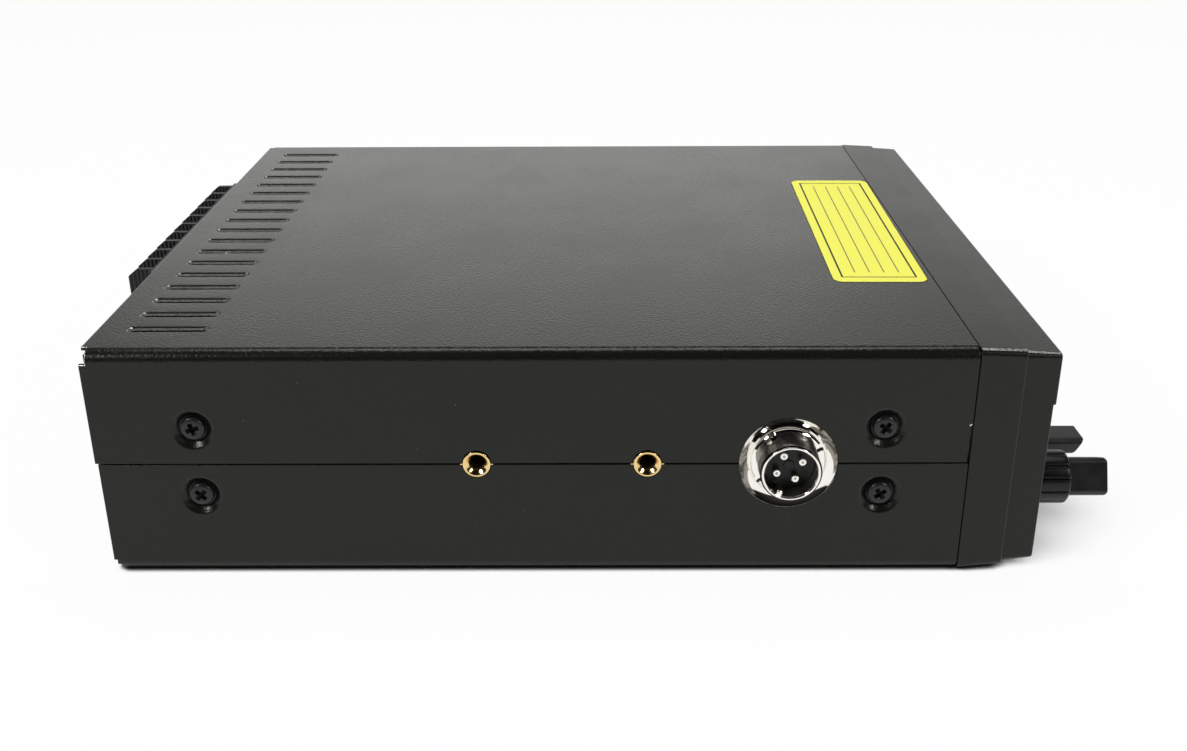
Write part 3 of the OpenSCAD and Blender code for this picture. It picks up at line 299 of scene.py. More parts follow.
def bridge(bm, ring_a, ring_b, material=0):
    """Quads between two closed rings of as many points."""
    faces = []
    for i in range(len(ring_a)):
        j = (i + 1) % len(ring_a)
        corners = [ring_a[i], ring_a[j], ring_b[j], ring_b[i]]
        corners = [c for k, c in enumerate(corners) if c not in corners[:k]]
        if len(corners) > 2:
            face = bm.faces.new(corners)
            face.material_index = material
            faces.append(face)
    return faces


def loft(bm, rings, material=0):
    """Quads along a row of closed rings."""
    for a, b in zip(rings, rings[1:]):
        bridge(bm, a, b, material)


def turned_ring(bm, place, radius, height, steps):
    """A ring of points about the Z axis of place."""
    turns = [2 * math.pi * k / steps for k in range(steps)]
    return [bm.verts.new(place @ Vector((radius * math.cos(a), radius * math.sin(a), height)))
            for a in turns]


def lathe(bm, profile, place, steps=64, closed=False):
    """A profile of (radius, height) points turned about the Z axis of place."""
    rings = []
    for radius, height in profile:
        if radius < 1e-6:
            rings.append([bm.verts.new(place @ Vector((0, 0, height)))] * steps)
        else:
            rings.append(turned_ring(bm, place, radius, height, steps))
    loft(bm, rings + rings[:1] if closed else rings)


def block(bm, size, middle=(0, 0, 0)):
    """A box, given as its corner points."""
    verts = bmesh.ops.create_cube(bm, size=1)["verts"]
    bmesh.ops.scale(bm, verts=verts, vec=size)
    bmesh.ops.translate(bm, verts=verts, vec=middle)
    return verts


def round_edges(bm, edges, radius, segments):
    """Rounds off edges and gives the points of the rounded shape."""
    made = bmesh.ops.bevel(bm, geom=edges, offset=radius, offset_type="OFFSET", segments=segments,
                           profile=0.5, affect="EDGES", clamp_overlap=True, loop_slide=True, material=-1)
    return made["verts"]


def rounded(points, radius, steps=3):
    """The (r, h) profile with its inner corners rounded off by short arcs."""
    out = [points[0]]
    for before, here, after in zip(points, points[1:], points[2:]):
        p = Vector(here)
        a = Vector(before) - p
        b = Vector(after) - p
        cut = min(radius, a.length * 0.45, b.length * 0.45)
        start = p + a.normalized() * cut
        end = p + b.normalized() * cut
        for k in range(steps + 1):
            t = k / steps
            out.append(tuple((1 - t) ** 2 * start + 2 * t * (1 - t) * p + t * t * end))
    out.append(points[-1])
    return out


def thread(bm, place, radius, low, high, pitch, depth, steps=64, rows=8, material=0):
    """A helical thread between two heights; a negative depth cuts an inner thread."""
    count = int((high - low) / pitch * rows)
    rings = []
    for row in range(count + 1):
        height = low + (high - low) * row / count
        fade = min(1, 3 * row / rows, 3 * (count - row) / rows)
        ring = []
        for k in range(steps):
            phase = (height / pitch + k / steps) % 1
            r = radius - depth * fade * abs(2 * phase - 1)
            a = 2 * math.pi * k / steps
            ring.append(bm.verts.new(place @ Vector((r * math.cos(a), r * math.sin(a), height))))
        rings.append(ring)
    loft(bm, rings, material)
    return rings


CORNER_TURNS = [(1, 1, 0), (-1, 1, 90), (-1, -1, 180), (1, -1, 270)]


def rounded_rect(width, length, radius, steps=8):
    """Points of a rectangle with round corners, anticlockwise."""
    loop = []
    for sx, sy, start in CORNER_TURNS:
        for k in range(steps + 1):
            a = math.radians(start + 90 * k / steps)
            loop.append((sx * (width / 2 - radius) + radius * math.cos(a),
                         sy * (length / 2 - radius) + radius * math.sin(a)))
    return loop


def out_left(y, z):
    """A place on the left side whose Z axis points out of it, zero at the middle of the case."""
    return Matrix.Translation((0, y, z)) @ Matrix.Rotation(-math.pi / 2, 4, "Y")


def out_right(y, z):
    """The same on the right side."""
    return Matrix.Translation((0, y, z)) @ Matrix.Rotation(math.pi / 2, 4, "Y")


def out_front(x, z):
    """The same toward the operator."""
    return Matrix.Translation((x, 0, z)) @ Matrix.Rotation(math.pi / 2, 4, "X")


def out_rear(x, z):
    """The same toward the rear."""
    return Matrix.Translation((x, 0, z)) @ Matrix.Rotation(-math.pi / 2, 4, "X")


def mark(bm, place, across, along, width, length, turn=0.0, rise=0.02):
    """A thin printed bar on a surface whose outward axis is the Z axis of place."""
    shape = Matrix.Diagonal((width, length, rise, 1))
    spot = Matrix.Translation((across, along, rise / 2)) @ Matrix.Rotation(turn, 4, "Z")
    bmesh.ops.create_cube(bm, size=1, matrix=place @ spot @ shape)


WELD = 0.002
FLAT_JOIN = math.radians(0.6)
SHARP_EDGE = math.radians(30)


def cad_mesh(node):
    """The mesh of a CAD node in millimetres, with its points welded."""
    bm = bmesh.new()
    bm.from_mesh(nodes[node].data)
    bm.transform(Matrix.Scale(1 / MM, 4))
    bmesh.ops.remove_doubles(bm, verts=bm.verts, dist=WELD)
    return bm


def dress(node, mats, slot, bevel=0.2, segments=2):
    """A copy of a CAD node with its sharp edges rounded, which stands for the node."""
    bm = cad_mesh(node)
    bmesh.ops.dissolve_limit(bm, angle_limit=FLAT_JOIN, verts=bm.verts, edges=bm.edges)
    for face in bm.faces:
        face.material_index = 0
    sharp = [e for e in bm.edges if len(e.link_faces) == 2 and e.calc_face_angle(0) > SHARP_EDGE]
    round_edges(bm, sharp, bevel, segments)
    stand_in(bm, node, slot, mats)


# Folded covers, drawn as a flat pattern of (across, along) points with a depth into the sheet

def circle(across, along, radius, steps):
    """A circle that runs clockwise, as the edge of a hole does."""
    return [(across + radius * math.cos(2 * math.pi * k / steps),
             along - radius * math.sin(2 * math.pi * k / steps)) for k in range(steps)]


def slot_loop(across, along, width, length, steps=10):
    """A slot along the case with round ends, clockwise."""
    loop = []
    for sign in (-1, 1):
        for k in range(steps + 1):
            a = math.pi * k / steps
            loop.append((across + sign * width / 2 * math.cos(a),
                         along - sign * ((length - width) / 2 + width / 2 * math.sin(a))))
    return loop[::-1] if signed_area(loop) > 0 else loop


def signed_area(loop):
    """Area of a loop, positive where it runs anticlockwise."""
    return sum(a[0] * b[1] - b[0] * a[1] for a, b in zip(loop, loop[1:] + loop[:1])) / 2


def inset(loop, amount):
    """The loop moved into the material: to the left of its direction of travel."""
    moved = []
    for before, here, after in zip(loop[-1:] + loop[:-1], loop, loop[1:] + loop[:1]):
        u = (Vector(here) - Vector(before)).normalized()
        v = (Vector(after) - Vector(here)).normalized()
        n1 = Vector((-u.y, u.x))
        n2 = Vector((-v.y, v.x))
        moved.append(tuple(Vector(here) + (n1 + n2) * amount / (1 + n1.dot(n2))))
    return moved


def inside(point, loop):
    """Whether a point lies inside a loop."""
    hit = False
    for a, b in zip(loop, loop[1:] + loop[:1]):
        if (a[1] > point[1]) != (b[1] > point[1]):
            if point[0] < a[0] + (b[0] - a[0]) * (point[1] - a[1]) / (b[1] - a[1]):
                hit = not hit
    return hit


def edge_rings(radius):
    """Inset and depth of the rings round a cut edge with a rounded lip."""
    lip = [(radius * (1 - math.sin(t)), radius * (1 - math.cos(t)))
           for t in (0, math.pi / 6, math.pi / 3, math.pi / 2)]
    return lip + [(0, SHEET)]


# Radius and depth of a formed dimple, from its soft shoulder down the sloping wall to its floor
DIMPLE_FORM = [(5.9, 0.0), (5.6, 0.04), (5.35, 0.14), (5.1, 0.31), (4.7, 0.645), (4.3, 0.98), (3.95, 1.27),
               (3.75, 1.45), (3.6, 1.56), (3.45, DIMPLE)]
DIMPLE_R = DIMPLE_FORM[0][0]
SCREW_BORE = 1.6
CUT_STEPS = 28
NOTCH_CLEAR = 0.3
EDGE_MARGIN = 0.5
EDGE_LIP = 0.22
LIP_BANDS = 4


def dimple_rings():
    """Inset and depth of the rings of a formed dimple with a screw hole."""
    form = [(radius - DIMPLE_R, depth) for radius, depth in DIMPLE_FORM]
    back = [(amount, depth + SHEET) for amount, depth in form[::-1]]
    bored = [(SCREW_BORE - DIMPLE_R, DIMPLE), (SCREW_BORE - DIMPLE_R, DIMPLE + SHEET)]
    return form + bored + back


class FlatPattern:
    """Half of the case: a sheet folded along two lines, from one seam edge round to the other."""

    def __init__(self, edge_z, flat_z):
        self.edge_z = edge_z
        self.up = 1 if flat_z > edge_z else -1
        self.side = abs(flat_z - edge_z) - FOLD
        self.bend = FOLD * math.pi / 2
        self.width = 2 * (self.side + self.bend + HALF_W - FOLD)

    def place(self, point, depth):
        """A point of the pattern in space, at a depth into the sheet."""
        across, along = point
        far = across > self.width / 2
        run = self.width - across if far else across
        if run < self.side:
            x, rise = -HALF_W + depth, run
        elif run < self.side + self.bend:
            angle = (run - self.side) / FOLD
            x = -HALF_W + FOLD - (FOLD - depth) * math.cos(angle)
            rise = self.side + (FOLD - depth) * math.sin(angle)
        else:
            x = -HALF_W + FOLD + run - self.side - self.bend
            rise = self.side + FOLD - depth
        return Vector((-x if far else x, along, self.edge_z + self.up * rise))

    def across_at(self, x):
        """Distance across the pattern of a point on the flat top or bottom."""
        return self.width / 2 + x

    def fold_lines(self, steps=8):
        """Distances across the pattern of the lines that make up the two bends."""
        near = [self.side + self.bend * k / steps for k in range(steps + 1)]
        return near + [self.width - s for s in near[::-1]]

    def outline(self, front, rear, left_cuts, right_cuts, worn):
        """Edge of the pattern, anticlockwise, with half round cuts at the seam and notched folds.

        worn is the length of front edge, up from the left seam, that stands back a little.
        """
        folds = self.fold_lines()
        half = len(folds) // 2
        loop = [(0, front)]
        if worn:
            loop = [(0, front + GAP), (worn - GAP, front + GAP), (worn, front)]
        loop += [(s, front) for s in folds] + [(self.width, front)]
        offset = abs(SEAM_Z - self.edge_z)
        for along, radius in sorted(right_cuts):
            first = math.asin(offset / radius)
            loop += [(self.width + offset - radius * math.sin(a), along - radius * math.cos(a))
                     for a in spaced(first, math.pi - first, CUT_STEPS)]
        loop.append((self.width, rear))
        for group in (folds[half:][::-1], folds[:half][::-1]):
            start, end = group[0] + NOTCH_CLEAR, group[-1] - NOTCH_CLEAR
            loop += [(start, rear), (start, rear - RELIEF)] + [(s, rear - RELIEF) for s in group]
            loop += [(end, rear - RELIEF), (end, rear)]
        loop.append((0, rear))
        for along, radius in sorted(left_cuts, reverse=True):
            first = math.asin(offset / radius)
            loop += [(radius * math.sin(a) - offset, along + radius * math.cos(a))
                     for a in spaced(first, math.pi - first, CUT_STEPS)]
        return loop


def spaced(start, end, count):
    """Evenly spaced values, both ends with them."""
    return [start + (end - start) * k / count for k in range(count + 1)]


def filled(points, rim, holes, lines=()):
    """Triangles inside a rim, leaving the holes open, as indices of points with their middles."""
    chains = [loop + loop[:1] for loop in [rim] + holes] + list(lines)
    used = sorted({k for chain in chains for k in chain})
    where = {k: n for n, k in enumerate(used)}
    edges = [(where[a], where[b]) for chain in chains for a, b in zip(chain, chain[1:])]
    found = delaunay_2d_cdt([Vector(points[k]) for k in used], edges, [], 0, 1e-6)
    edge = [points[k] for k in rim]
    shapes = [[points[k] for k in hole] for hole in holes]
    faces = []
    for face in found[2]:
        corners = [used[found[3][v][0]] for v in face]
        middle = [sum(points[c][axis] for c in corners) / len(corners) for axis in (0, 1)]
        if inside(middle, edge) and not any(inside(middle, shape) for shape in shapes):
            faces.append((corners, middle))
    return faces


def numbered(loops):
    """The points of some loops in one list, with the numbers of each loop's points."""
    points, groups = [], []
    for loop in loops:
        groups.append(list(range(len(points), len(points) + len(loop))))
        points += loop
    return points, groups


def skin(bm, pattern, loops, rings):
    """Flat faces between an outline and its holes, folded to shape."""
    points, (rim, *holes) = numbered(loops)
    verts = [vert for ring in rings for vert in ring]
    folds = []
    for s in pattern.fold_lines():
        ends = sorted((k for k in rim if abs(points[k][0] - s) < 1e-4), key=lambda k: points[k][1])
        folds.append([ends[0], ends[-1]])
    for corners, middle in filled(points, rim, holes, folds):
        bm.faces.new([verts[c] for c in corners])


def cover(node, pattern, front, rear, left_cuts, right_cuts, slots, slot_edge, worn=0):
    """One folded cover with rounded edges, slots, dimples and bare metal on its rear edge."""
    bm = bmesh.new()
    outline = pattern.outline(front, rear, left_cuts, right_cuts, worn)
    parts = [(outline, [(EDGE_MARGIN, 0)] + edge_rings(EDGE_LIP))]
    parts += [(loop, edge_rings(slot_edge)) for loop in slots]
    rise = abs(SCREW_Z + pattern.up * SCREW_RISE - pattern.edge_z)
    for along in SCREW_Y:
        for across in (rise, pattern.width - rise):
            parts.append((circle(across, along, DIMPLE_R, 48), dimple_rings()))
    outer_loops, outer_rings, inner_loops, inner_rings = [], [], [], []
    for loop, steps in parts:
        made = []
        for amount, depth in steps:
            ring = inset(loop, amount)
            made.append((ring, [bm.verts.new(pattern.place(p, depth)) for p in ring]))
        for k, (a, b) in enumerate(zip(made, made[1:])):
            for face in bridge(bm, a[1], b[1]):
                if loop is outline and k < LIP_BANDS:
                    bare_where_worn_or_glint(face, front, rear, worn, k)
                elif loop in slots:
                    face.material_index = slot_metal_and_glints(face, loop, k)
        outer_loops.append(made[0][0])
        outer_rings.append(made[0][1])
        inner_loops.append(made[-1][0])
        inner_rings.append(made[-1][1])
    skin(bm, pattern, outer_loops, outer_rings)
    skin(bm, pattern, inner_loops, inner_rings)
    stand_in(bm, node, "cover_paint", ["paint", "raw_edge", "cut_edge"], sharp=50)


def slot_metal_and_glints(face, loop, band):
    """Cut metal on the wall of a slot, with bare metal on the lip at its two ends, as burrs and as painted
    glints, longer at the front end.
    """
    middle = face.calc_center_median()
    front_end = min(p[1] for p in loop)
    rear_end = max(p[1] for p in loop)
    # bare lips at the slot ends: burrs, and painted glints where the ends catch the light
    if 0 < band < 3 and (middle.y < front_end + 0.9 or middle.y > rear_end - 0.5):
        return 1
    return 2 if band > 2 else 0


def bare_where_worn_or_glint(face, front, rear, worn, band):
    """Bare metal where worn on the rear edge of the top and at the worn corner, and low in the microphone
    opening as a painted highlight on the lower edge of the hole.
    """
    middle = face.calc_center_median()
    from_mic = math.hypot(middle.y - MIC_Y, middle.z - SEAM_Z)
    # the lower arc of the microphone hole's edge turns bare metal: a painted highlight
    mic_glint_arc = middle.x < 0 and abs(from_mic - MIC_HOLE) < 0.4 and middle.z < SEAM_Z - 4 and band == 2
    rise = middle.z - SEAM_Z
    at_corner = worn and middle.x < 0 and middle.y < front + 1 and abs(rise - worn) < 0.9
    at_rear = middle.y > rear - RELIEF - 0.3 and middle.z > CASE_H - FOLD - 0.8 and band > 0
    if at_rear or mic_glint_arc or at_corner:
        face.material_index = 1


nut_cuts = [(y, NUT_R + 0.12) for y in NUT_Y]
mic_cut = [(MIC_Y, MIC_HOLE)]

# Vent slots of the top cover, and the speaker slots of the bottom cover
VENT_COUNT = 18
VENT_PITCH = 10.5
VENT_LEN = 20.8
VENT_W = 3.2
VENT_BACK = 8.0
VENT_LIP = 0.42
WORN_CORNER = 10.8
upper = FlatPattern(cover_lo.z, CASE_H)
vents = [slot_loop(upper.across_at((k - (VENT_COUNT - 1) / 2) * VENT_PITCH),
                   cover_hi.y - VENT_BACK - VENT_LEN / 2, VENT_W, VENT_LEN) for k in range(VENT_COUNT)]
cover("top_cover", upper, cover_lo.y, cover_hi.y, nut_cuts + mic_cut, nut_cuts, vents, VENT_LIP,
      worn=WORN_CORNER)

speaker_lo, speaker_hi = box_mm("speaker_magnet")
SPEAKER_Y = (speaker_lo.y + speaker_hi.y) / 2
GRILLE_R = 30.0
GRILLE_PITCH = 6.6
GRILLE_W = 2.6
GRILLE_LIP = 0.3
lower = FlatPattern(under_hi.z, 0.0)
grille = [slot_loop(lower.across_at(k * GRILLE_PITCH), SPEAKER_Y, GRILLE_W,
                    2 * math.sqrt(GRILLE_R ** 2 - (k * GRILLE_PITCH) ** 2) - 2) for k in range(-4, 5)]
cover("bottom_cover", lower, under_lo.y, under_hi.y, nut_cuts + mic_cut, nut_cuts, grille, GRILLE_LIP)


# Black pan head screws with cross recesses

def cross_screw(head_r, head_h, shank_r, shank_len):
    """A screw drawn up the Z axis with its seat at zero."""
    bm = bmesh.new()
    head = [(0, head_h), (head_r * 0.4, head_h * 0.99), (head_r * 0.7, head_h * 0.94),
            (head_r * 0.9, head_h * 0.8), (head_r, head_h * 0.5), (head_r, 0), (shank_r, 0),
            (shank_r, -shank_len), (0, -shank_len)]
    lathe(bm, rounded(head, 0.4), Matrix.Identity(4), steps=48)
    bmesh.ops.recalc_face_normals(bm, faces=bm.faces)
    solid = scratch_object(bm)
    cut = bmesh.new()
    reach, wide, deep = head_r * 0.62, head_r * 0.2, head_h * 0.8
    for turn in (0, math.pi / 2):
        corners = []
        for z, length, half in ((head_h + 0.2, reach, wide), (head_h - deep, reach * 0.35, wide * 0.7)):
            for x, y in ((length, half), (-length, half), (-length, -half), (length, -half)):
                corners.append(cut.verts.new(Matrix.Rotation(turn, 3, "Z") @ Vector((x, y, z))))
        cut.faces.new(corners[:4])
        cut.faces.new(corners[7:3:-1])
        bridge(cut, corners[:4], corners[4:])
    bmesh.ops.recalc_face_normals(cut, faces=cut.faces)
    tool = scratch_object(cut)
    boolean = solid.modifiers.new("recess", "BOOLEAN")
    boolean.object = tool
    boolean.solver = "EXACT"
    boolean.use_self = True
    bpy.context.view_layer.update()
    mesh = bpy.data.meshes.new_from_object(solid.evaluated_get(bpy.context.evaluated_depsgraph_get()))
    for obj in (solid, tool):
        bpy.data.objects.remove(obj)
    # the faces of the cross recess take the near-black finish, a painted shade in the recess
    for face in mesh.polygons:
        low = 0 < face.center.z < head_h * 0.9
        face.material_index = 1 if low and face.center.xy.length < reach + 0.1 else 0
    return mesh


def scratch_object(bm):
    """A throwaway object for a boolean cut."""
    mesh = bpy.data.meshes.new("scratch")
    bm.to_mesh(mesh)
    bm.free()
    return new_object("scratch", mesh)


def stamp(mesh, places):
    """One mesh with a copy of another at each place."""
    bm = bmesh.new()
    for place in places:
        copy = mesh.copy()
        copy.transform(place)
        bm.from_mesh(copy)
        bpy.data.meshes.remove(copy)
    return bm


HEAD_H = 1.5
SHANK_R, SHANK_LEN = 1.5, 6
cover_screw = cross_screw(HEAD_R, HEAD_H, SHANK_R, SHANK_LEN)
seat = Matrix.Translation((0, 0, HALF_W - DIMPLE))
screw_places = []
for y in SCREW_Y:
    for rise in (-SCREW_RISE, SCREW_RISE):
        for side in (out_left, out_right):
            turn = Matrix.Rotation(math.radians(dice.uniform(15, 75)), 4, "Z")
            screw_places.append(side(y, SCREW_Z + rise) @ seat @ turn)
stand_in(stamp(cover_screw, screw_places), "cover_screws", "black_screw", ["screw", "recess"], sharp=40)


# Brass bracket nuts with threaded bores
NUT_BORE = 2.1
NUT_CHAMFER = 0.9
NUT_PITCH, NUT_GROOVE = 0.8, 0.26
NUB = (0.24, 0.7, 0.8)
NUT_TOP = nut_hi.x
NUT_IN = -box_mm("left_rail")[1].x - 2


def bracket_nuts():
    """Round nuts on the seam with chamfered, threaded bores and a small nub on each side."""
    shell = rounded([(NUT_BORE, NUT_IN), (NUT_FLANGE, NUT_IN + 0.8), (NUT_FLANGE, NUT_IN + 2),
                     (NUT_R, NUT_IN + 2), (NUT_R, NUT_TOP), (NUT_BORE + 0.95, NUT_TOP),
                     (NUT_BORE, NUT_TOP - NUT_CHAMFER)], 0.28, 4)
    bm = bmesh.new()
    for side in (out_left, out_right):
        for y in NUT_Y:
            place = side(y, SEAM_Z)
            lathe(bm, shell, place, steps=56)
            # the bore's thread takes the dark brass, a painted shade in the hole
            thread(bm, place, NUT_BORE, NUT_IN, NUT_TOP - NUT_CHAMFER, NUT_PITCH, -NUT_GROOVE, steps=56,
                   material=1)
            for sign in (-1, 1):
                nub = block(bm, NUB, (0, sign * (NUT_R + 0.3), HALF_W - 0.25))
                bmesh.ops.transform(bm, verts=nub, matrix=place)
    stand_in(bm, "bracket_nuts", "brass", ["brass", "bore"], weld=0.0005)


bracket_nuts()


# Microphone socket
RAIL_X = -box_mm("mic_dish")[1].x
END_X = -barrel_lo.x
DISH_LOW, DISH_TOP = RAIL_X + 0.8, HALF_W - 0.3
DISH_R, DISH_IN = MIC_HOLE - 0.08, BARREL_R + 2.1
BOWL = [(0, 0), (0.04, 0.3), (0.23, 0.38), (0.42, 0.49), (0.62, 0.63), (0.81, 0.8), (1, 1)]
MIC_PITCH, MIC_GROOVE = 1.0, 0.35
NIB = (1.6, 1.7, 5.0)
NIB_TURN = math.radians(155)
PIN_R, PIN_CIRCLE, PIN_END = 1.05, 3.6, -box_mm("mic_pins")[0].x
PIN_TURNS = (26, 116, 206, 296)
mic = out_left(MIC_Y, SEAM_Z)


def mic_dish():
    """A bright bowl round the barrel."""
    dish = [(BARREL_R + 0.1, DISH_LOW)]
    dish += [(DISH_IN + (DISH_R - DISH_IN) * out, DISH_LOW + (DISH_TOP - DISH_LOW) * rise)
             for out, rise in BOWL]
    dish += [(DISH_R, HALF_W - 0.9), (BARREL_R + 2.5, RAIL_X), (BARREL_R + 0.1, RAIL_X)]
    bm = bmesh.new()
    lathe(bm, dish, mic, steps=96, closed=True)
    stand_in(bm, "mic_dish", "chrome", ["chrome"])


def mic_barrel():
    """A tube with an outer thread, a flange inside the rail and a key nib in its bore."""
    bm = bmesh.new()
    tube = rounded([(BORE_R, RAIL_X - 4), (BORE_R, END_X - 0.45), (BORE_R + 0.3, END_X),
                    (BARREL_R - 0.4, END_X), (BARREL_R - 0.35, END_X - 0.5)], 0.2, 4)
    lathe(bm, tube, mic, steps=96)
    # the thread takes the darker metal, a painted shade for what it reflects
    thread(bm, mic, BARREL_R, RAIL_X + 3, END_X - 0.5, MIC_PITCH, MIC_GROOVE, steps=96, material=1)
    lathe(bm, [(BARREL_R - 0.3, RAIL_X + 3.1), (BARREL_R - 0.3, RAIL_X - 1.2), (BARREL_R + 2, RAIL_X - 1.2),
               (BARREL_R + 2, RAIL_X - 2.8), (BARREL_R - 0.4, RAIL_X - 2.8), (BARREL_R - 0.4, RAIL_X - 4),
               (BORE_R, RAIL_X - 4)], mic, steps=96)
    nib = block(bm, NIB)
    nib = round_edges(bm, list({e for v in nib for e in v.link_edges}), 0.5, 4)
    spot = Matrix.Rotation(NIB_TURN, 4, "Z") @ Matrix.Translation((BORE_R - 0.3, 0, END_X - 2.9))
    bmesh.ops.transform(bm, verts=nib, matrix=mic @ spot)
    stand_in(bm, "mic_barrel", "chrome", ["chrome", "thread"])


def mic_pins():
    """Hollow contact pins in the insert."""
    pin = rounded([(0.01, PIN_END - 0.7), (0.28, PIN_END - 0.6), (0.3, PIN_END - 0.02),
                   (PIN_R - 0.15, PIN_END), (PIN_R, PIN_END - 0.3), (PIN_R, PIN_END - 6),
                   (0.01, PIN_END - 6)], 0.18, 4)
    bm = bmesh.new()
    for turn in PIN_TURNS:
        a = math.radians(turn)
        spot = Matrix.Translation((PIN_CIRCLE * math.cos(a), PIN_CIRCLE * math.sin(a), 0))
        lathe(bm, pin, mic @ spot, steps=32)
    stand_in(bm, "mic_pins", "chrome", ["chrome"])


mic_dish()
dress("mic_nut", ["chrome"], "chrome", bevel=0.18, segments=3)
mic_barrel()
dress("mic_insert", ["insert"], "bezel_plastic", bevel=0.12, segments=3)
mic_pins()


# Bezel, window, keys and knobs
CREASE_Y = bezel_hi.y - 11.8
CREASE_STEP = 0.5
NOSE = Vector((1.2, 2.8, 1.7))
CREASE = Vector((0.25 * NOSE.x, 0.4 * NOSE.y, 0.3 * NOSE.z))
BEZEL_R = 1.9
BEZEL_WALL = 2.2
FACE_STEP = 0.6
FACE_Y = bezel_lo.y + FACE_STEP
INNER_Y = FACE_Y + 3
STEP_Z = 48.0
window_lo, window_hi = box_mm("display_window")
KEYS = [f"button_{number}" for number in range(1, 7)]
KEY_W, KEY_H, KEY_EDGE = 10.6, 7.0, 0.7
SHAFT_HOLE = 3.6
DIALS = [middle_xz(node) for node in ("squelch_ring", "rf_gain_ring", "channel_grip")]
# Inset and distance back of the rounded edges at the crease and at the face
CREASE_LIP = [(0, 0.45), (0.14, 0.14), (0.45, 0)]
FACE_LIP = [(0, 0.5), (0.15, 0.15), (0.5, 0)]
# Where the points at the step of the face stand in the loop of the bezel
CORNER_STEPS = 10
LEFT_UP = 2 * (CORNER_STEPS + 1)
LEFT_LOW = LEFT_UP + 1
RIGHT_LOW = 2 * LEFT_UP + 2
RIGHT_UP = RIGHT_LOW + 1


def bezel_loop(y, ahead, shrink):
    """Edge of the bezel at a depth, with a pair of points on each side at the step of the face."""
    if ahead:
        step = Vector((CREASE_STEP,) * 3)
        share = (CREASE_Y - y) / (CREASE_Y - bezel_lo.y)
        draw = (CREASE + step).lerp(NOSE, share)
    else:
        share = (bezel_hi.y - y) / (bezel_hi.y - CREASE_Y)
        draw = CREASE * share
    half = HALF_W - draw.x - shrink
    low, high = draw.y + shrink, CASE_H - draw.z - shrink
    radius = max(0.4, BEZEL_R * (1 - 0.3 * share * ahead) - shrink)
    middle = (low + high) / 2
    loop = [(x, z + middle) for x, z in rounded_rect(2 * half, high - low, radius, CORNER_STEPS)]
    near, far = STEP_Z - 0.02, STEP_Z + 0.02
    left = [(-half, far), (-half, near)]
    right = [(half, near), (half, far)]
    return loop[:LEFT_UP] + left + loop[LEFT_UP:] + right


def hole_loop(x, z, width, height, radius, grow):
    """A hole of the front wall as a loop of (x, z) points."""
    loop = rounded_rect(width + 2 * grow, height + 2 * grow, max(0.3, radius + grow), 6)
    return [(x + a, z + b) for a, b in loop]


def step_line():
    """The step of the face, from the left side down round the display and up to the right side."""
    left, right, low, turn = window_lo.x - 4, window_hi.x + 4, window_lo.z - 3.5, 2.0
    line = [(left, STEP_Z)]
    for sign, corner, first in ((-1, left, 180), (1, right, 270)):
        for k in range(7):
            a = math.radians(first + 15 * k)
            line.append((corner - sign * turn + turn * math.cos(a), low + turn + turn * math.sin(a)))
    return line + [(right, STEP_Z)]


def bezel_finish(face):
    """Painted highlight with some wear specks on the upper side edges, on the faces that slant up toward
    the lamps, and a painted highlight line along the crease.
    """
    face.normal_update()
    middle = face.calc_center_median()
    at_edge = middle.z > CASE_H - 3 and abs(middle.x) > HALF_W - 3
    # faces on the upper side edges that slant up toward the lamps take the light speckled finish, a painted
    # highlight along with wear
    if at_edge and 0.78 < abs(face.normal.z) < 0.985:
        return 1
    # the crease strip takes the lighter finish, a painted highlight line
    return 2 if CREASE_Y < middle.y < CREASE_Y + CREASE_LIP[0][1] else 0


def bezel_shell(bm):
    """Outer skin of the bezel, given as its rings from the rear edge to the face."""
    stations = [(bezel_hi.y, False, BEZEL_WALL), (bezel_hi.y, False, 0.2), (bezel_hi.y - 0.2, False, 0)]
    stations += [(CREASE_Y + back, False, shrink) for shrink, back in CREASE_LIP]
    stations += [(CREASE_Y, True, 0), (CREASE_Y - 0.6, True, 0)]
    stations += [(bezel_lo.y + back, True, shrink) for shrink, back in FACE_LIP]
    rings = []
    for y, ahead, shrink in stations:
        at_face = y < bezel_lo.y + 0.55
        ring = []
        for index, (x, z) in enumerate(bezel_loop(y, ahead, shrink)):
            back = FACE_STEP if at_face and LEFT_LOW <= index <= RIGHT_LOW else 0
            ring.append(bm.verts.new((x, y + back, z)))
        rings.append(ring)
    for a, b in zip(rings, rings[1:]):
        for face in bridge(bm, a, b):
            face.material_index = bezel_finish(face)
    return rings


def bezel_cuts():
    """Middle, width, height and corner of each hole in the face, with its rings as (growth, y)."""
    size = window_hi - window_lo
    pocket = [(0.45, bezel_lo.y), (0.25, bezel_lo.y + 0.06), (0.15, bezel_lo.y + 0.25),
              (0.15, bezel_lo.y + 1.8), (-2.75, bezel_lo.y + 1.8), (-2.75, INNER_Y)]
    wall = [(0.55, FACE_Y), (0.37, FACE_Y + 0.08), (0.3, FACE_Y + 0.3), (0.3, INNER_Y)]
    bore = [(0, FACE_Y), (0, INNER_Y)]
    cuts = [(middle_xz("display_window"), size.x, size.z, 0.8, pocket)]
    cuts += [(middle_xz(key), KEY_W, KEY_H, 1.0, wall) for key in KEYS]
    return cuts + [(place, 2 * SHAFT_HOLE, 2 * SHAFT_HOLE, SHAFT_HOLE, bore) for place in DIALS]


def inner_wall(bm, rear_ring, loops, rings):
    """The back of the front wall with its holes, and the inside of the shell behind it."""
    outline = bezel_loop(INNER_Y, True, BEZEL_WALL)
    points, (rim, *holes) = numbered([outline] + loops)
    verts = [bm.verts.new((x, INNER_Y, z)) for x, z in outline]
    bridge(bm, rear_ring, verts)
    verts += [vert for ring in rings for vert in ring]
    for corners, middle in filled(points, rim, holes):
        bm.faces.new([verts[c] for c in corners])


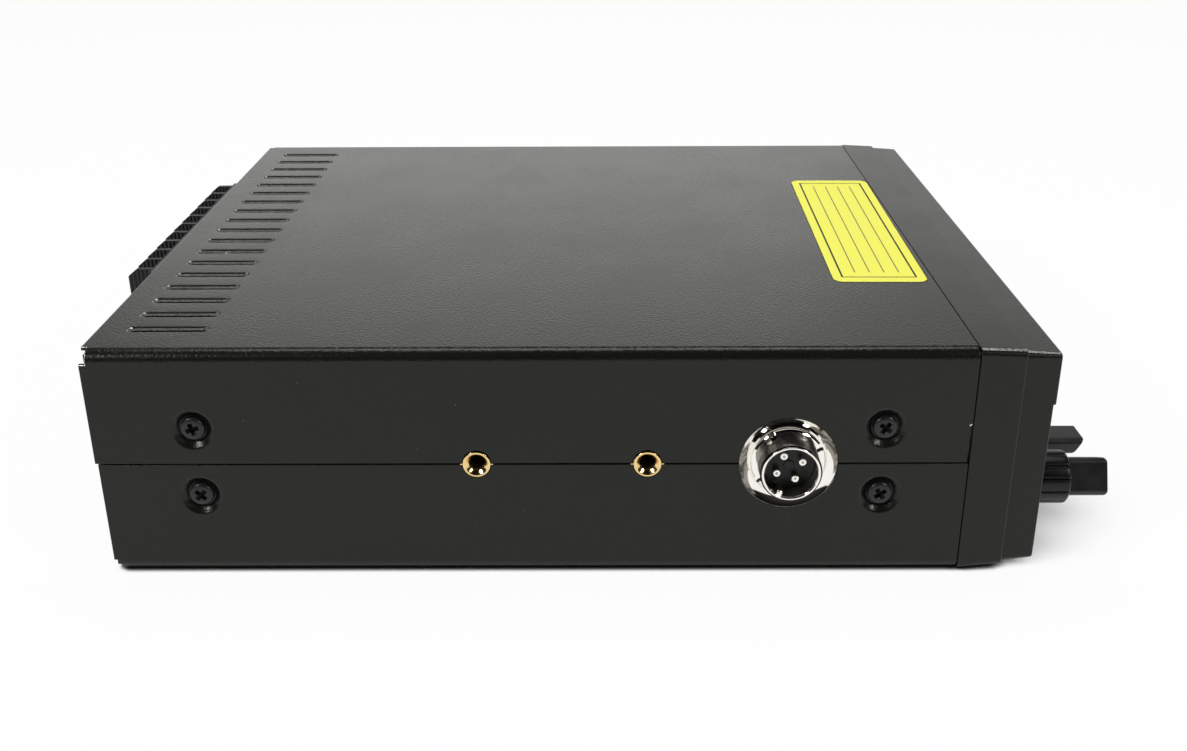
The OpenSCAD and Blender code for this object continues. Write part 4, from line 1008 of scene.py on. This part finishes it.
def bezel():
    """A tapered shell with a stepped face, whose holes run through the front wall."""
    bm = bmesh.new()
    shell = bezel_shell(bm)
    front = shell[-1]
    outline = bezel_loop(bezel_lo.y, True, FACE_LIP[-1][0])
    line = step_line()
    points = outline + line
    chain = [LEFT_UP, *range(len(outline), len(points)), RIGHT_UP]
    upper_vert = dict(enumerate(front))
    lower_vert = {**upper_vert, LEFT_UP: front[LEFT_LOW], RIGHT_UP: front[RIGHT_LOW]}
    for k, (x, z) in zip(chain[1:-1], line):
        upper_vert[k] = bm.verts.new((x, bezel_lo.y, z))
        lower_vert[k] = bm.verts.new((x, FACE_Y, z))
    holes, back_loops, back_rings = [], [], []
    for (x, z), width, height, radius, steps in bezel_cuts():
        loops = [hole_loop(x, z, width, height, radius, grow) for grow, y in steps]
        rings = [[bm.verts.new((a, y, b)) for a, b in loop] for loop, (grow, y) in zip(loops, steps)]
        loft(bm, rings)
        holes.append(list(range(len(points), len(points) + len(loops[0]))))
        points += loops[0]
        upper_vert.update(zip(holes[-1], rings[0]))
        lower_vert.update(zip(holes[-1], rings[0]))
        back_loops.append(loops[-1])
        back_rings.append(rings[-1])
    rim = [k for k in range(len(outline)) if k not in (LEFT_LOW, RIGHT_LOW)]
    upper_edge = outline[:LEFT_LOW] + line + [outline[RIGHT_UP]]
    for corners, middle in filled(points, rim, holes, [chain]):
        verts = upper_vert if inside(middle, upper_edge) else lower_vert
        bm.faces.new([verts[c] for c in corners])
    for a, b in zip(chain, chain[1:]):
        bm.faces.new([upper_vert[a], upper_vert[b], lower_vert[b], lower_vert[a]])
    inner_wall(bm, shell[0], back_loops, back_rings)
    stand_in(bm, "front_bezel", "bezel_plastic", ["bezel", "bezel_edge_wear_and_highlight", "bezel_crease_highlight"], sharp=50)


bezel()
dress("display_window", ["window"], "smoked_window", bevel=0.3, segments=3)


def keycap(node):
    """A push key with a crowned, rounded cap."""
    top = box_mm(node)[0].y
    x, z = middle_xz(node)
    bm = bmesh.new()
    steps = [(0, INNER_Y + 0.4), (0, top + KEY_EDGE)]
    steps += [(KEY_EDGE * (1 - math.sin(a)), top + KEY_EDGE * (1 - math.cos(a)) + 0.12)
              for a in spaced(math.pi / 2, 0, 5)] + [(1.6, top + 0.03), (2.6, top)]
    rings = []
    for shrink, y in steps:
        loop = rounded_rect(KEY_W - 2 * shrink, KEY_H - 2 * shrink, max(0.35, 1.0 - shrink * 0.5), 6)
        rings.append([bm.verts.new((x + a, y, z + b)) for a, b in loop])
    loft(bm, rings)
    bm.faces.new(rings[-1])
    bm.faces.new(rings[0][::-1])
    block(bm, (KEY_W + 2.2, 0.8, KEY_H + 2.2), (x, INNER_Y + 0.75, z))
    stand_in(bm, node, "key_plastic", ["key"], sharp=45)


for node in KEYS:
    keycap(node)

BAR_W, BAR_T, BAR_SLANT = 10.3, 4.8, 2.8
BAR_CORNER, BAR_EDGE = 1.5, 0.5
HUB_R, RECESS_R, RECESS_D = 5.4, 5.7, 3.0
RIB_COUNT, RIB_EDGE, RIB_PHASE = 12, 1.1, math.radians(8.5)
GROOVE_D, GROOVE_HALF = 0.4, 0.42
CROWN_D, CROWN_HALF = 0.1, 1.2


def bar_knob(node, ring, turn):
    """A flat bar with rounded edges and a slanted end, on a round hub."""
    face = box_mm(ring)[0].y
    tip = box_mm(node)[0].y
    x, z = middle_xz(ring)
    place = Matrix.Translation((x, 0, z)) @ Matrix.Rotation(math.radians(turn), 4, "Y")
    bm = bmesh.new()
    rings = []
    steps = [(0, face - 0.2 - tip)] + [(BAR_EDGE * (1 - math.cos(a)), BAR_EDGE * (1 - math.sin(a)))
                                       for a in spaced(0, math.pi / 2, 6)]
    for shrink, back in steps:
        ring_verts = []
        for across, along in rounded_rect(BAR_T - 2 * shrink, BAR_W - 2 * shrink, BAR_CORNER - shrink, 6):
            slant = 0 if back > 3 else BAR_SLANT * (across + BAR_T / 2) / BAR_T
            ring_verts.append(bm.verts.new(place @ Vector((across, tip + back + slant, along))))
        rings.append(ring_verts)
    loft(bm, rings)
    bm.faces.new(rings[-1])
    low, high, half = 0.8, BAR_W / 2 - 1.2, 0.35
    pointer = []
    for sink in (0.1, -0.03):
        for across, along in ((-half, low), (half, low), (half, high), (-half, high)):
            y = tip + BAR_SLANT * (across + BAR_T / 2) / BAR_T + sink
            pointer.append(bm.verts.new(place @ Vector((across, y, along))))
    bridge(bm, pointer[:4], pointer[4:], 1)
    bm.faces.new(pointer[4:]).material_index = 1
    hub = rounded([(0.5, face - 0.3), (HUB_R, face - 0.3), (HUB_R, face + RECESS_D - 0.3)], 0.3)
    lathe(bm, [(r, -y) for r, y in hub], out_front(x, z), steps=48)
    stand_in(bm, node, "knob_plastic", ["knob", "white_ink"], sharp=50)


def fluted_ring(node):
    """A ring knob with broad ribs that run out into its rounded front edge."""
    lo, hi = box_mm(node)
    radius = (hi.x - lo.x) / 2
    x, z = middle_xz(node)
    middle = Matrix.Translation((x, 0, z))
    bm = bmesh.new()
    profile = [(RECESS_R, lo.y + RECESS_D, 0), (RECESS_R, lo.y + 0.3, 0), (RECESS_R + 0.2, lo.y, 0)]
    profile += [(radius - RIB_EDGE + RIB_EDGE * math.sin(a), lo.y + RIB_EDGE * (1 - math.cos(a)),
                 a / math.pi * 2) for a in spaced(0, math.pi / 2, 8)]
    profile += [(radius, lo.y + 2, 1), (radius, hi.y - 0.3, 1), (radius - 0.4, hi.y, 0.5), (3.2, hi.y, 0)]
    pitch = 2 * math.pi / RIB_COUNT
    offsets = [s / radius for s in (0, 0.14, 0.28, GROOVE_HALF, 0.6, 0.85, CROWN_HALF, 1.6)]
    turns = sorted(set(offsets) | {pitch - o for o in offsets[1:]})
    rings = []
    for r, y, share in profile:
        ring_verts = []
        for k in range(RIB_COUNT):
            for turn in turns:
                along = min(turn, pitch - turn) * radius
                cut = 0.5 + 0.5 * math.cos(math.pi * along / GROOVE_HALF) if along < GROOVE_HALF else 0
                crown = CROWN_D * (1 - min(1, along / CROWN_HALF)) ** 2
                rr = r - share * (GROOVE_D * cut + crown)
                a = RIB_PHASE + k * pitch + turn
                ring_verts.append(bm.verts.new(middle @ Vector((rr * math.cos(a), y, rr * math.sin(a)))))
        rings.append(ring_verts)
    loft(bm, rings)
    stand_in(bm, node, "knob_plastic", ["ring"], sharp=60)


bar_knob("volume_knob", "squelch_ring", 24)
bar_knob("mic_gain_knob", "rf_gain_ring", 90)
fluted_ring("squelch_ring")
fluted_ring("rf_gain_ring")
dress("channel_knob", ["knob"], "knob_plastic", bevel=0.3, segments=4)
dress("channel_grip", ["rubber"], "grip_rubber", bevel=0.15, segments=3)

# Front markings and the digits of the display
SEGMENTS = ["abcdef", "bc", "abdeg", "abcdg", "bcfg", "acdfg", "acdefg", "abc", "abcdefg", "abcdfg"]
FACE = Matrix.Translation((0, 0, -FACE_Y))


def front_of(node):
    """A place at the middle of a node's front whose Z axis points to the operator."""
    return out_front(*middle_xz(node)) @ Matrix.Translation((0, 0, -box_mm(node)[0].y))


def digit(bm, place, number, width, height, stroke):
    """One seven segment digit about the origin of place."""
    bars = {"a": (0, 1, 1), "g": (0, 0, 1), "d": (0, -1, 1), "b": (1, 0.5, 0), "c": (1, -0.5, 0),
            "e": (-1, -0.5, 0), "f": (-1, 0.5, 0)}
    for name in SEGMENTS[number]:
        across, along, level = bars[name]
        size = (width - stroke * 1.4, stroke) if level else (stroke, height / 2 - stroke * 1.4)
        mark(bm, place, across * width / 2, along * height / 2, *size)


def dial_ticks():
    """Ticks round the two dual controls."""
    bm = bmesh.new()
    lo, hi = box_mm("squelch_ring")
    radius = (hi.x - lo.x) / 2
    for x, z in DIALS[:2]:
        place = out_front(x, z) @ FACE
        for k in range(11):
            a = math.radians(-150 + 30 * k)
            length = 1.5 if k % 5 == 0 else 1.0
            reach = radius + 1.1 + length / 2
            mark(bm, place, reach * math.sin(a), reach * math.cos(a), 0.35, length, -a)
    piece(bm, "dial_ticks", "chassis", "bezel_plastic", ["white_ink"])


def display_digits():
    """A plain number and a row of meter bars on the glass of the display."""
    lo, hi = box_mm("lcd_glass")
    size = hi - lo
    place = front_of("lcd_glass")
    height = size.z * 0.42
    bm = bmesh.new()
    for k, number in enumerate((1, 2, 3, 4, 5)):
        spot = Matrix.Translation(((k - 2) * height * 0.85, size.z * 0.1, 0))
        digit(bm, place @ spot, number, height * 0.5, height, height * 0.1)
    for k in range(16):
        mark(bm, place, (k - 7.5) * height * 0.26, -size.z * 0.3, height * 0.16, height * 0.22)
    piece(bm, "display_digits", "chassis", "lcd_glass", ["lcd_ink"])


def key_mark(node):
    """A short bar printed on a key."""
    bm = bmesh.new()
    mark(bm, front_of(node), 0, 0, 3.6, 0.5)
    piece(bm, node + "_mark", nodes[node]["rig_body"], "key_plastic", ["white_ink"])


dial_ticks()
display_digits()
for node in KEYS:
    key_mark(node)

# Rear of the case
dress("rear_panel", ["paint"], "cover_paint", bevel=0.2, segments=2)


FIN_COUNT, FIN_PITCH = 11, 9.0
FIN_ROOT, FIN_TIP = 1.8, 1.3
FIN_CUT_Y, FIN_CUT_Z = 2.9, 2.4
FIN_CHAMFER = 0.15
RIB_STEP = 0.62
BASE_T = 5


def fin_stations(root, end):
    """Depths along a fin with how far its ribbed side stands out there."""
    stations = [(root - 0.4, 0.0)]
    rib, y = 0, root
    while y < end - 0.3:
        stations.append((y, 0.13 if rib % 2 else -0.04))
        y += RIB_STEP
        rib += 1
    return stations + [(end - 0.15, -0.02), (end, -0.3)]


def heat_sink():
    """A base plate with upright ribbed fins whose rear corners are cut off."""
    lo, hi = box_mm("heat_sink")
    middle_x, middle_z = middle_xz("heat_sink")
    panel = box_mm("rear_panel")[1].y
    root = panel + BASE_T
    bm = bmesh.new()
    block(bm, (hi.x - lo.x, BASE_T, hi.z - lo.z), (middle_x, panel + BASE_T / 2, middle_z))
    round_edges(bm, bm.edges[:], 0.3, 2)
    for k in range(FIN_COUNT):
        x = middle_x + (k - (FIN_COUNT - 1) / 2) * FIN_PITCH
        columns = []
        for y, out in fin_stations(root, hi.y):
            half = (FIN_ROOT + (FIN_TIP - FIN_ROOT) * (y - root) / (hi.y - root)) / 2 + out
            drop = max(0, (y - (hi.y - FIN_CUT_Y)) / FIN_CUT_Y) * FIN_CUT_Z
            low, high = lo.z + drop, hi.z - drop
            column = []
            for sign in (-1, 1):
                for z, back in ((low, FIN_CHAMFER), (low + FIN_CHAMFER, 0), (high - FIN_CHAMFER, 0),
                                (high, FIN_CHAMFER)):
                    column.append(bm.verts.new((x + sign * (half - back), y, z)))
            columns.append(column[:4] + column[:3:-1])
        loft(bm, columns)
        bm.faces.new(columns[0])
        bm.faces.new(columns[-1][::-1])
    stand_in(bm, "heat_sink", "black_anodised", ["anodised"], sharp=25)


heat_sink()
dress("power_socket", ["insert"], "bezel_plastic", bevel=0.3, segments=3)
dress("antenna_insulator", ["white_plastic"], "white_plastic", bevel=0.25, segments=3)
dress("antenna_contact", ["brass"], "brass", bevel=0.2, segments=3)
dress("antenna_shell", ["chrome"], "chrome", bevel=0.3, segments=3)


def antenna_thread():
    """Raised thread on the barrel of the antenna socket."""
    lo, hi = box_mm("antenna_shell")
    place = out_rear(*middle_xz("antenna_shell"))
    radius, low, high = 7.95, lo.y + 5.5, hi.y - 0.8
    pitch, groove = 1.05, 0.5
    bm = bmesh.new()
    rings = thread(bm, place, radius + 0.12, low, high, pitch, groove)
    for ring, height in ((rings[0], low - 0.15), (rings[-1], high + 0.15)):
        bridge(bm, ring, turned_ring(bm, place, radius - 0.2, height, len(ring)))
    piece(bm, "antenna_thread", "chassis", "chrome", ["chrome"])


antenna_thread()
dress("phone_jacks", ["insert"], "bezel_plastic", bevel=0.25, segments=3)
dress("jack_nuts", ["chrome"], "plated_steel", bevel=0.2, segments=3)


# Plated chassis screws, each placed by its own solid in the CAD node
CHASSIS_HEAD_R = 3.1
CHASSIS_HEAD_H = 2.0


def loose_parts(node):
    """Points of each separate solid of a CAD node, in millimetres."""
    bm = cad_mesh(node)
    left = set(bm.verts)
    parts = []
    while left:
        reached = [left.pop()]
        for vert in reached:
            for edge in vert.link_edges:
                other = edge.other_vert(vert)
                if other in left:
                    left.remove(other)
                    reached.append(other)
        parts.append([vert.co.copy() for vert in reached])
    bm.free()
    return sorted(parts, key=lambda points: tuple(round(c, 2) for c in points_middle(points)))


def points_middle(points):
    """Middle of the box round some points."""
    return Vector([(min(p[k] for p in points) + max(p[k] for p in points)) / 2 for k in range(3)])


def screw_place(points):
    """The place of a screw from the points of its solid: its seat, with its head toward the Z axis."""
    middle = points_middle(points)
    spans = [max(p[k] for p in points) - min(p[k] for p in points) for k in range(3)]
    axis = spans.index(max(spans))
    along = Vector([1.0 if k == axis else 0.0 for k in range(3)])
    head = [p for p in points if (p - middle - along * along.dot(p - middle)).length > 2.5]
    if points_middle(head)[axis] < middle[axis]:
        along = -along
    seat = middle + along * (spans[axis] / 2 - CHASSIS_HEAD_H)
    turn = Vector((0, 0, 1)).rotation_difference(along).to_matrix().to_4x4()
    return Matrix.Translation(seat) @ turn @ Matrix.Rotation(dice.uniform(0, math.pi / 2), 4, "Z")


chassis_screw = cross_screw(CHASSIS_HEAD_R, CHASSIS_HEAD_H, SHANK_R, SHANK_LEN)
screw_places = [screw_place(points) for points in loose_parts("chassis_screws")]
stand_in(stamp(chassis_screw, screw_places), "chassis_screws", "plated_steel", ["plated", "recess"],
         sharp=40)


# Label
label_lo, label_hi = box_mm("top_label")
LABEL_W, LABEL_L, LABEL_R, LABEL_TURN = 106.0, 27.0, 3.0, math.radians(-0.8)
# Growth and height of the rings of the label, the first three round its dark edge, a painted shadow under
# its rim
LABEL_EDGE = [(0, 0.0), (0, 0.03), (-0.2, 0.05), (-0.22, 0.1), (-0.28, 0.13)]
LABEL_TOP = LABEL_EDGE[-1][1]
label_place = Matrix.Translation(((label_lo.x + label_hi.x) / 2, (label_lo.y + label_hi.y) / 2, CASE_H))
label_place = label_place @ Matrix.Rotation(LABEL_TURN, 4, "Z")


def label():
    """A thin sheet with round corners and a dark edge painted as the shadow under its rim."""
    bm = bmesh.new()
    rings = []
    for grow, z in LABEL_EDGE:
        loop = rounded_rect(LABEL_W + 2 * grow, LABEL_L + 2 * grow, LABEL_R)
        rings.append([bm.verts.new(label_place @ Vector((x, y, z))) for x, y in loop])
    # the first bands take the dark finish, a painted shadow under the rim
    loft(bm, rings[:3], 1)
    loft(bm, rings[2:])
    bm.faces.new(rings[-1])
    bm.faces.new(rings[0][::-1])
    stand_in(bm, "top_label", "label_vinyl", ["vinyl", "label_shadow_edge"])


def label_rules():
    """A border and plain ruled lines, as on a blank label to write on."""
    top = label_place @ Matrix.Translation((0, 0, LABEL_TOP))
    wide, tall, thick, thin = LABEL_W - 8, LABEL_L - 6, 0.55, 0.35
    bm = bmesh.new()
    for side in (-1, 1):
        mark(bm, top, 0, side * tall / 2, wide + thick, thick)
        mark(bm, top, side * wide / 2, 0, thick, tall - thick)
    piece(bm, "label_border", "chassis", "label_vinyl", ["ink"])
    bm = bmesh.new()
    for row in spaced(-tall / 2, tall / 2, 5)[1:-1]:
        mark(bm, top, 0, row, wide - 8, thin)
    piece(bm, "label_lines", "chassis", "label_vinyl", ["thin_ink"])


label()
label_rules()


# Finish of the nodes that keep their CAD shape
CARRIED = {
    "plated": ["left_rail", "right_rail", "front_subpanel", "panel_nuts", "speaker_clips",
               "coil_cans", "lcd_frame"],
    "lcd": ["lcd_glass"],
    "board": ["control_board", "main_board"],
    "component": ["key_switches", "power_transistors", "capacitors"],
    "cast": ["volume_pot", "gain_pot", "channel_encoder"],
    "turned": ["volume_shaft", "squelch_shaft", "mic_gain_shaft", "rf_gain_shaft", "channel_shaft"],
    "brass": ["power_pins"],
    "ribbon": ["ribbon_cable"],
    "speaker_steel": ["speaker_frame"],
    "cone": ["speaker_cone"],
    "ferrite": ["speaker_magnet"],
}
for mat, names in CARRIED.items():
    for name in names:
        nodes[name].data.materials.clear()
        nodes[name].data.materials.append(MATERIALS[mat])


# Floor, light and camera
SHADE_REACH, CONTACT_REACH = 0.05, 0.0026
FLOOR_PAINTED_SHADOW, FLOOR_PALE = (0.08, 0.08, 0.08, 1), (0.95, 0.945, 0.93, 1)
BACKDROP = [(0.345, 1.0), (0.4, 0.8), (0.455, 0.5), (0.52, 0.32), (0.6, 0.13), (0.68, 0.05), (1.0, 0.03)]
BACKDROP_SQUASH = (0, 0.8, 1)
SENSOR, LENS, LENS_SHIFT = 36, 39.608, (-0.0037, -0.0206)
CAMERA_PLACE = (-0.4024, -0.0088, 0.1899)
CAMERA_TURNS = [(-89.639, "Z"), (90 - 22.975, "X"), (-0.285, "Z")]


def smooth_step(add, source, low, high, start, end):
    """A soft step from start to end while the source goes from low to high."""
    return add("ShaderNodeMapRange", {"Value": source}, interpolation_type="SMOOTHSTEP", From_Min=low,
               From_Max=high, To_Min=start, To_Max=end)


def show_as_background(add, plain, bright, share=None):
    """Mixes in the bright shader for rays from the camera, mirrors and glass."""
    path = add("ShaderNodeLightPath")
    total = add("ShaderNodeMath", {0: (path, "Is Camera Ray"), 1: (path, "Is Glossy Ray")}, operation="ADD")
    seen = add("ShaderNodeMath", {0: (total, 0), 1: (path, "Is Transmission Ray")}, operation="ADD",
               use_clamp=True)
    if share:
        seen = add("ShaderNodeMath", {0: (seen, 0), 1: (share, 0)}, operation="MULTIPLY")
    return add("ShaderNodeMixShader", {0: (seen, 0), 1: (plain, 0), 2: (bright, 0)})


def make_floor():
    """A pale floor that is white where it is open, whose white fades near the object so the lit floor
    shows, with a painted shadow darkening its colour at the contact.
    """
    mat = bpy.data.materials.new("pale_floor")
    add = empty_shader(mat)

    def openness(distance, low, high, most, feeds=None):
        """How open the floor is within a distance, from zero to most."""
        near = add("ShaderNodeAmbientOcclusion", feeds, samples=12, Distance=distance)
        return smooth_step(add, (near, "AO"), low, high, 0.0, most)

    lean = add("ShaderNodeCombineXYZ", X=-0.6, Y=0.55, Z=0.58)
    shade = openness(SHADE_REACH, 0.3, 0.8, 0.95, {"Normal": (lean, 0)})
    contact = openness(CONTACT_REACH, 0.3, 0.75, 1.0)
    share = add("ShaderNodeMath", {0: (shade, 0), 1: (contact, 0)}, operation="MULTIPLY")
    # the floor's colour goes dark where the contact occlusion is high: a painted contact shadow
    color = add("ShaderNodeMix", {0: (contact, 0)}, data_type="RGBA")
    color.inputs[6].default_value = FLOOR_PAINTED_SHADOW
    color.inputs[7].default_value = FLOOR_PALE
    plain = add("ShaderNodeBsdfDiffuse", {"Color": (color, 2)})
    bright = add("ShaderNodeEmission", Color=(1, 1, 1, 1), Strength=1.0)
    mix = show_as_background(add, plain, bright, share)
    add("ShaderNodeOutputMaterial", {"Surface": (mix, 0)})
    bm = bmesh.new()
    bmesh.ops.create_grid(bm, x_segments=1, y_segments=1, size=60)
    mesh = bpy.data.meshes.new("floor")
    bm.to_mesh(mesh)
    bm.free()
    mesh.materials.append(mat)
    floor = new_object("floor", mesh)
    floor.location = (0, 23, -0.0002)


def make_world():
    """Even light, with a white backdrop behind the object and a dark room above and on the near side."""
    world = bpy.data.worlds.new("studio")
    bpy.context.scene.world = world
    add = empty_shader(world)
    place = add("ShaderNodeTexCoord")
    squash = add("ShaderNodeVectorMath", {0: (place, "Generated")}, operation="MULTIPLY")
    squash.inputs[1].default_value = BACKDROP_SQUASH
    away = add("ShaderNodeVectorMath", {0: (squash, 0)}, operation="LENGTH")
    ramp = add("ShaderNodeValToRGB", {"Fac": (away, "Value")})
    ramp.color_ramp.elements.remove(ramp.color_ramp.elements[1])
    for k, (position, level) in enumerate(BACKDROP):
        stop = ramp.color_ramp.elements[0] if k == 0 else ramp.color_ramp.elements.new(position)
        stop.position = position
        stop.color = (level, level * 0.99, level * 0.975, 1)
    split = add("ShaderNodeSeparateXYZ", {"Vector": (place, "Generated")})
    behind = smooth_step(add, (split, "X"), -0.5, 0.1, 0.03, 1.0)
    horizon = smooth_step(add, (split, "Z"), 0.02, 0.06, 1.0, 0.0)
    level = add("ShaderNodeVectorMath", {0: (ramp, "Color"), "Scale": (behind, "Result")},
                operation="SCALE")
    both = add("ShaderNodeVectorMath", {0: (level, 0), 1: (horizon, "Result")}, operation="MAXIMUM")
    plain = add("ShaderNodeBackground", Color=(1, 1, 1, 1), Strength=0.25)
    bright = add("ShaderNodeBackground", {"Color": (both, 0)}, Strength=1.0)
    mix = show_as_background(add, plain, bright)
    add("ShaderNodeOutputWorld", {"Surface": (mix, 0)})


def make_lamp(name, place, target, width, height, power):
    """A flat soft lamp, its width level."""
    data = bpy.data.lights.new(name, "AREA")
    data.shape = "RECTANGLE"
    data.size = width
    data.size_y = height
    data.energy = power
    lamp = new_object(name, data)
    lamp.location = place
    lamp.rotation_euler = (Vector(target) - Vector(place)).to_track_quat("-Z", "Y").to_euler()


def make_camera():
    """The camera fitted to the straight edges of the case."""
    data = bpy.data.cameras.new("camera")
    data.sensor_width = SENSOR
    data.lens = LENS
    data.shift_x, data.shift_y = LENS_SHIFT
    data.clip_start = 0.01
    camera = new_object("camera", data)
    camera.location = CAMERA_PLACE
    turn = Matrix.Identity(3)
    for angle, axis in CAMERA_TURNS:
        turn = turn @ Matrix.Rotation(math.radians(angle), 3, axis)
    camera.rotation_euler = turn.to_euler()
    bpy.context.scene.camera = camera


make_floor()
make_world()
make_lamp("overhead", (0.24, 0, 1.0), (0.239, 0, 0), 0.8, 0.4, 4.6)
make_lamp("back_lamp", (2.9, 0.3, 0.88), (0, 0, 0.05), 1.9, 0.75, 2.0)
make_lamp("rear_lamp", (-0.55, 0.68, 0.7), (0, 0, 0.03), 0.22, 0.22, 4.0)
make_lamp("front_lamp", (-0.55, -0.75, 0.65), (0, 0, 0.03), 0.22, 0.22, 2.8)
make_camera()
bpy.context.scene.view_settings.view_transform = "Standard"
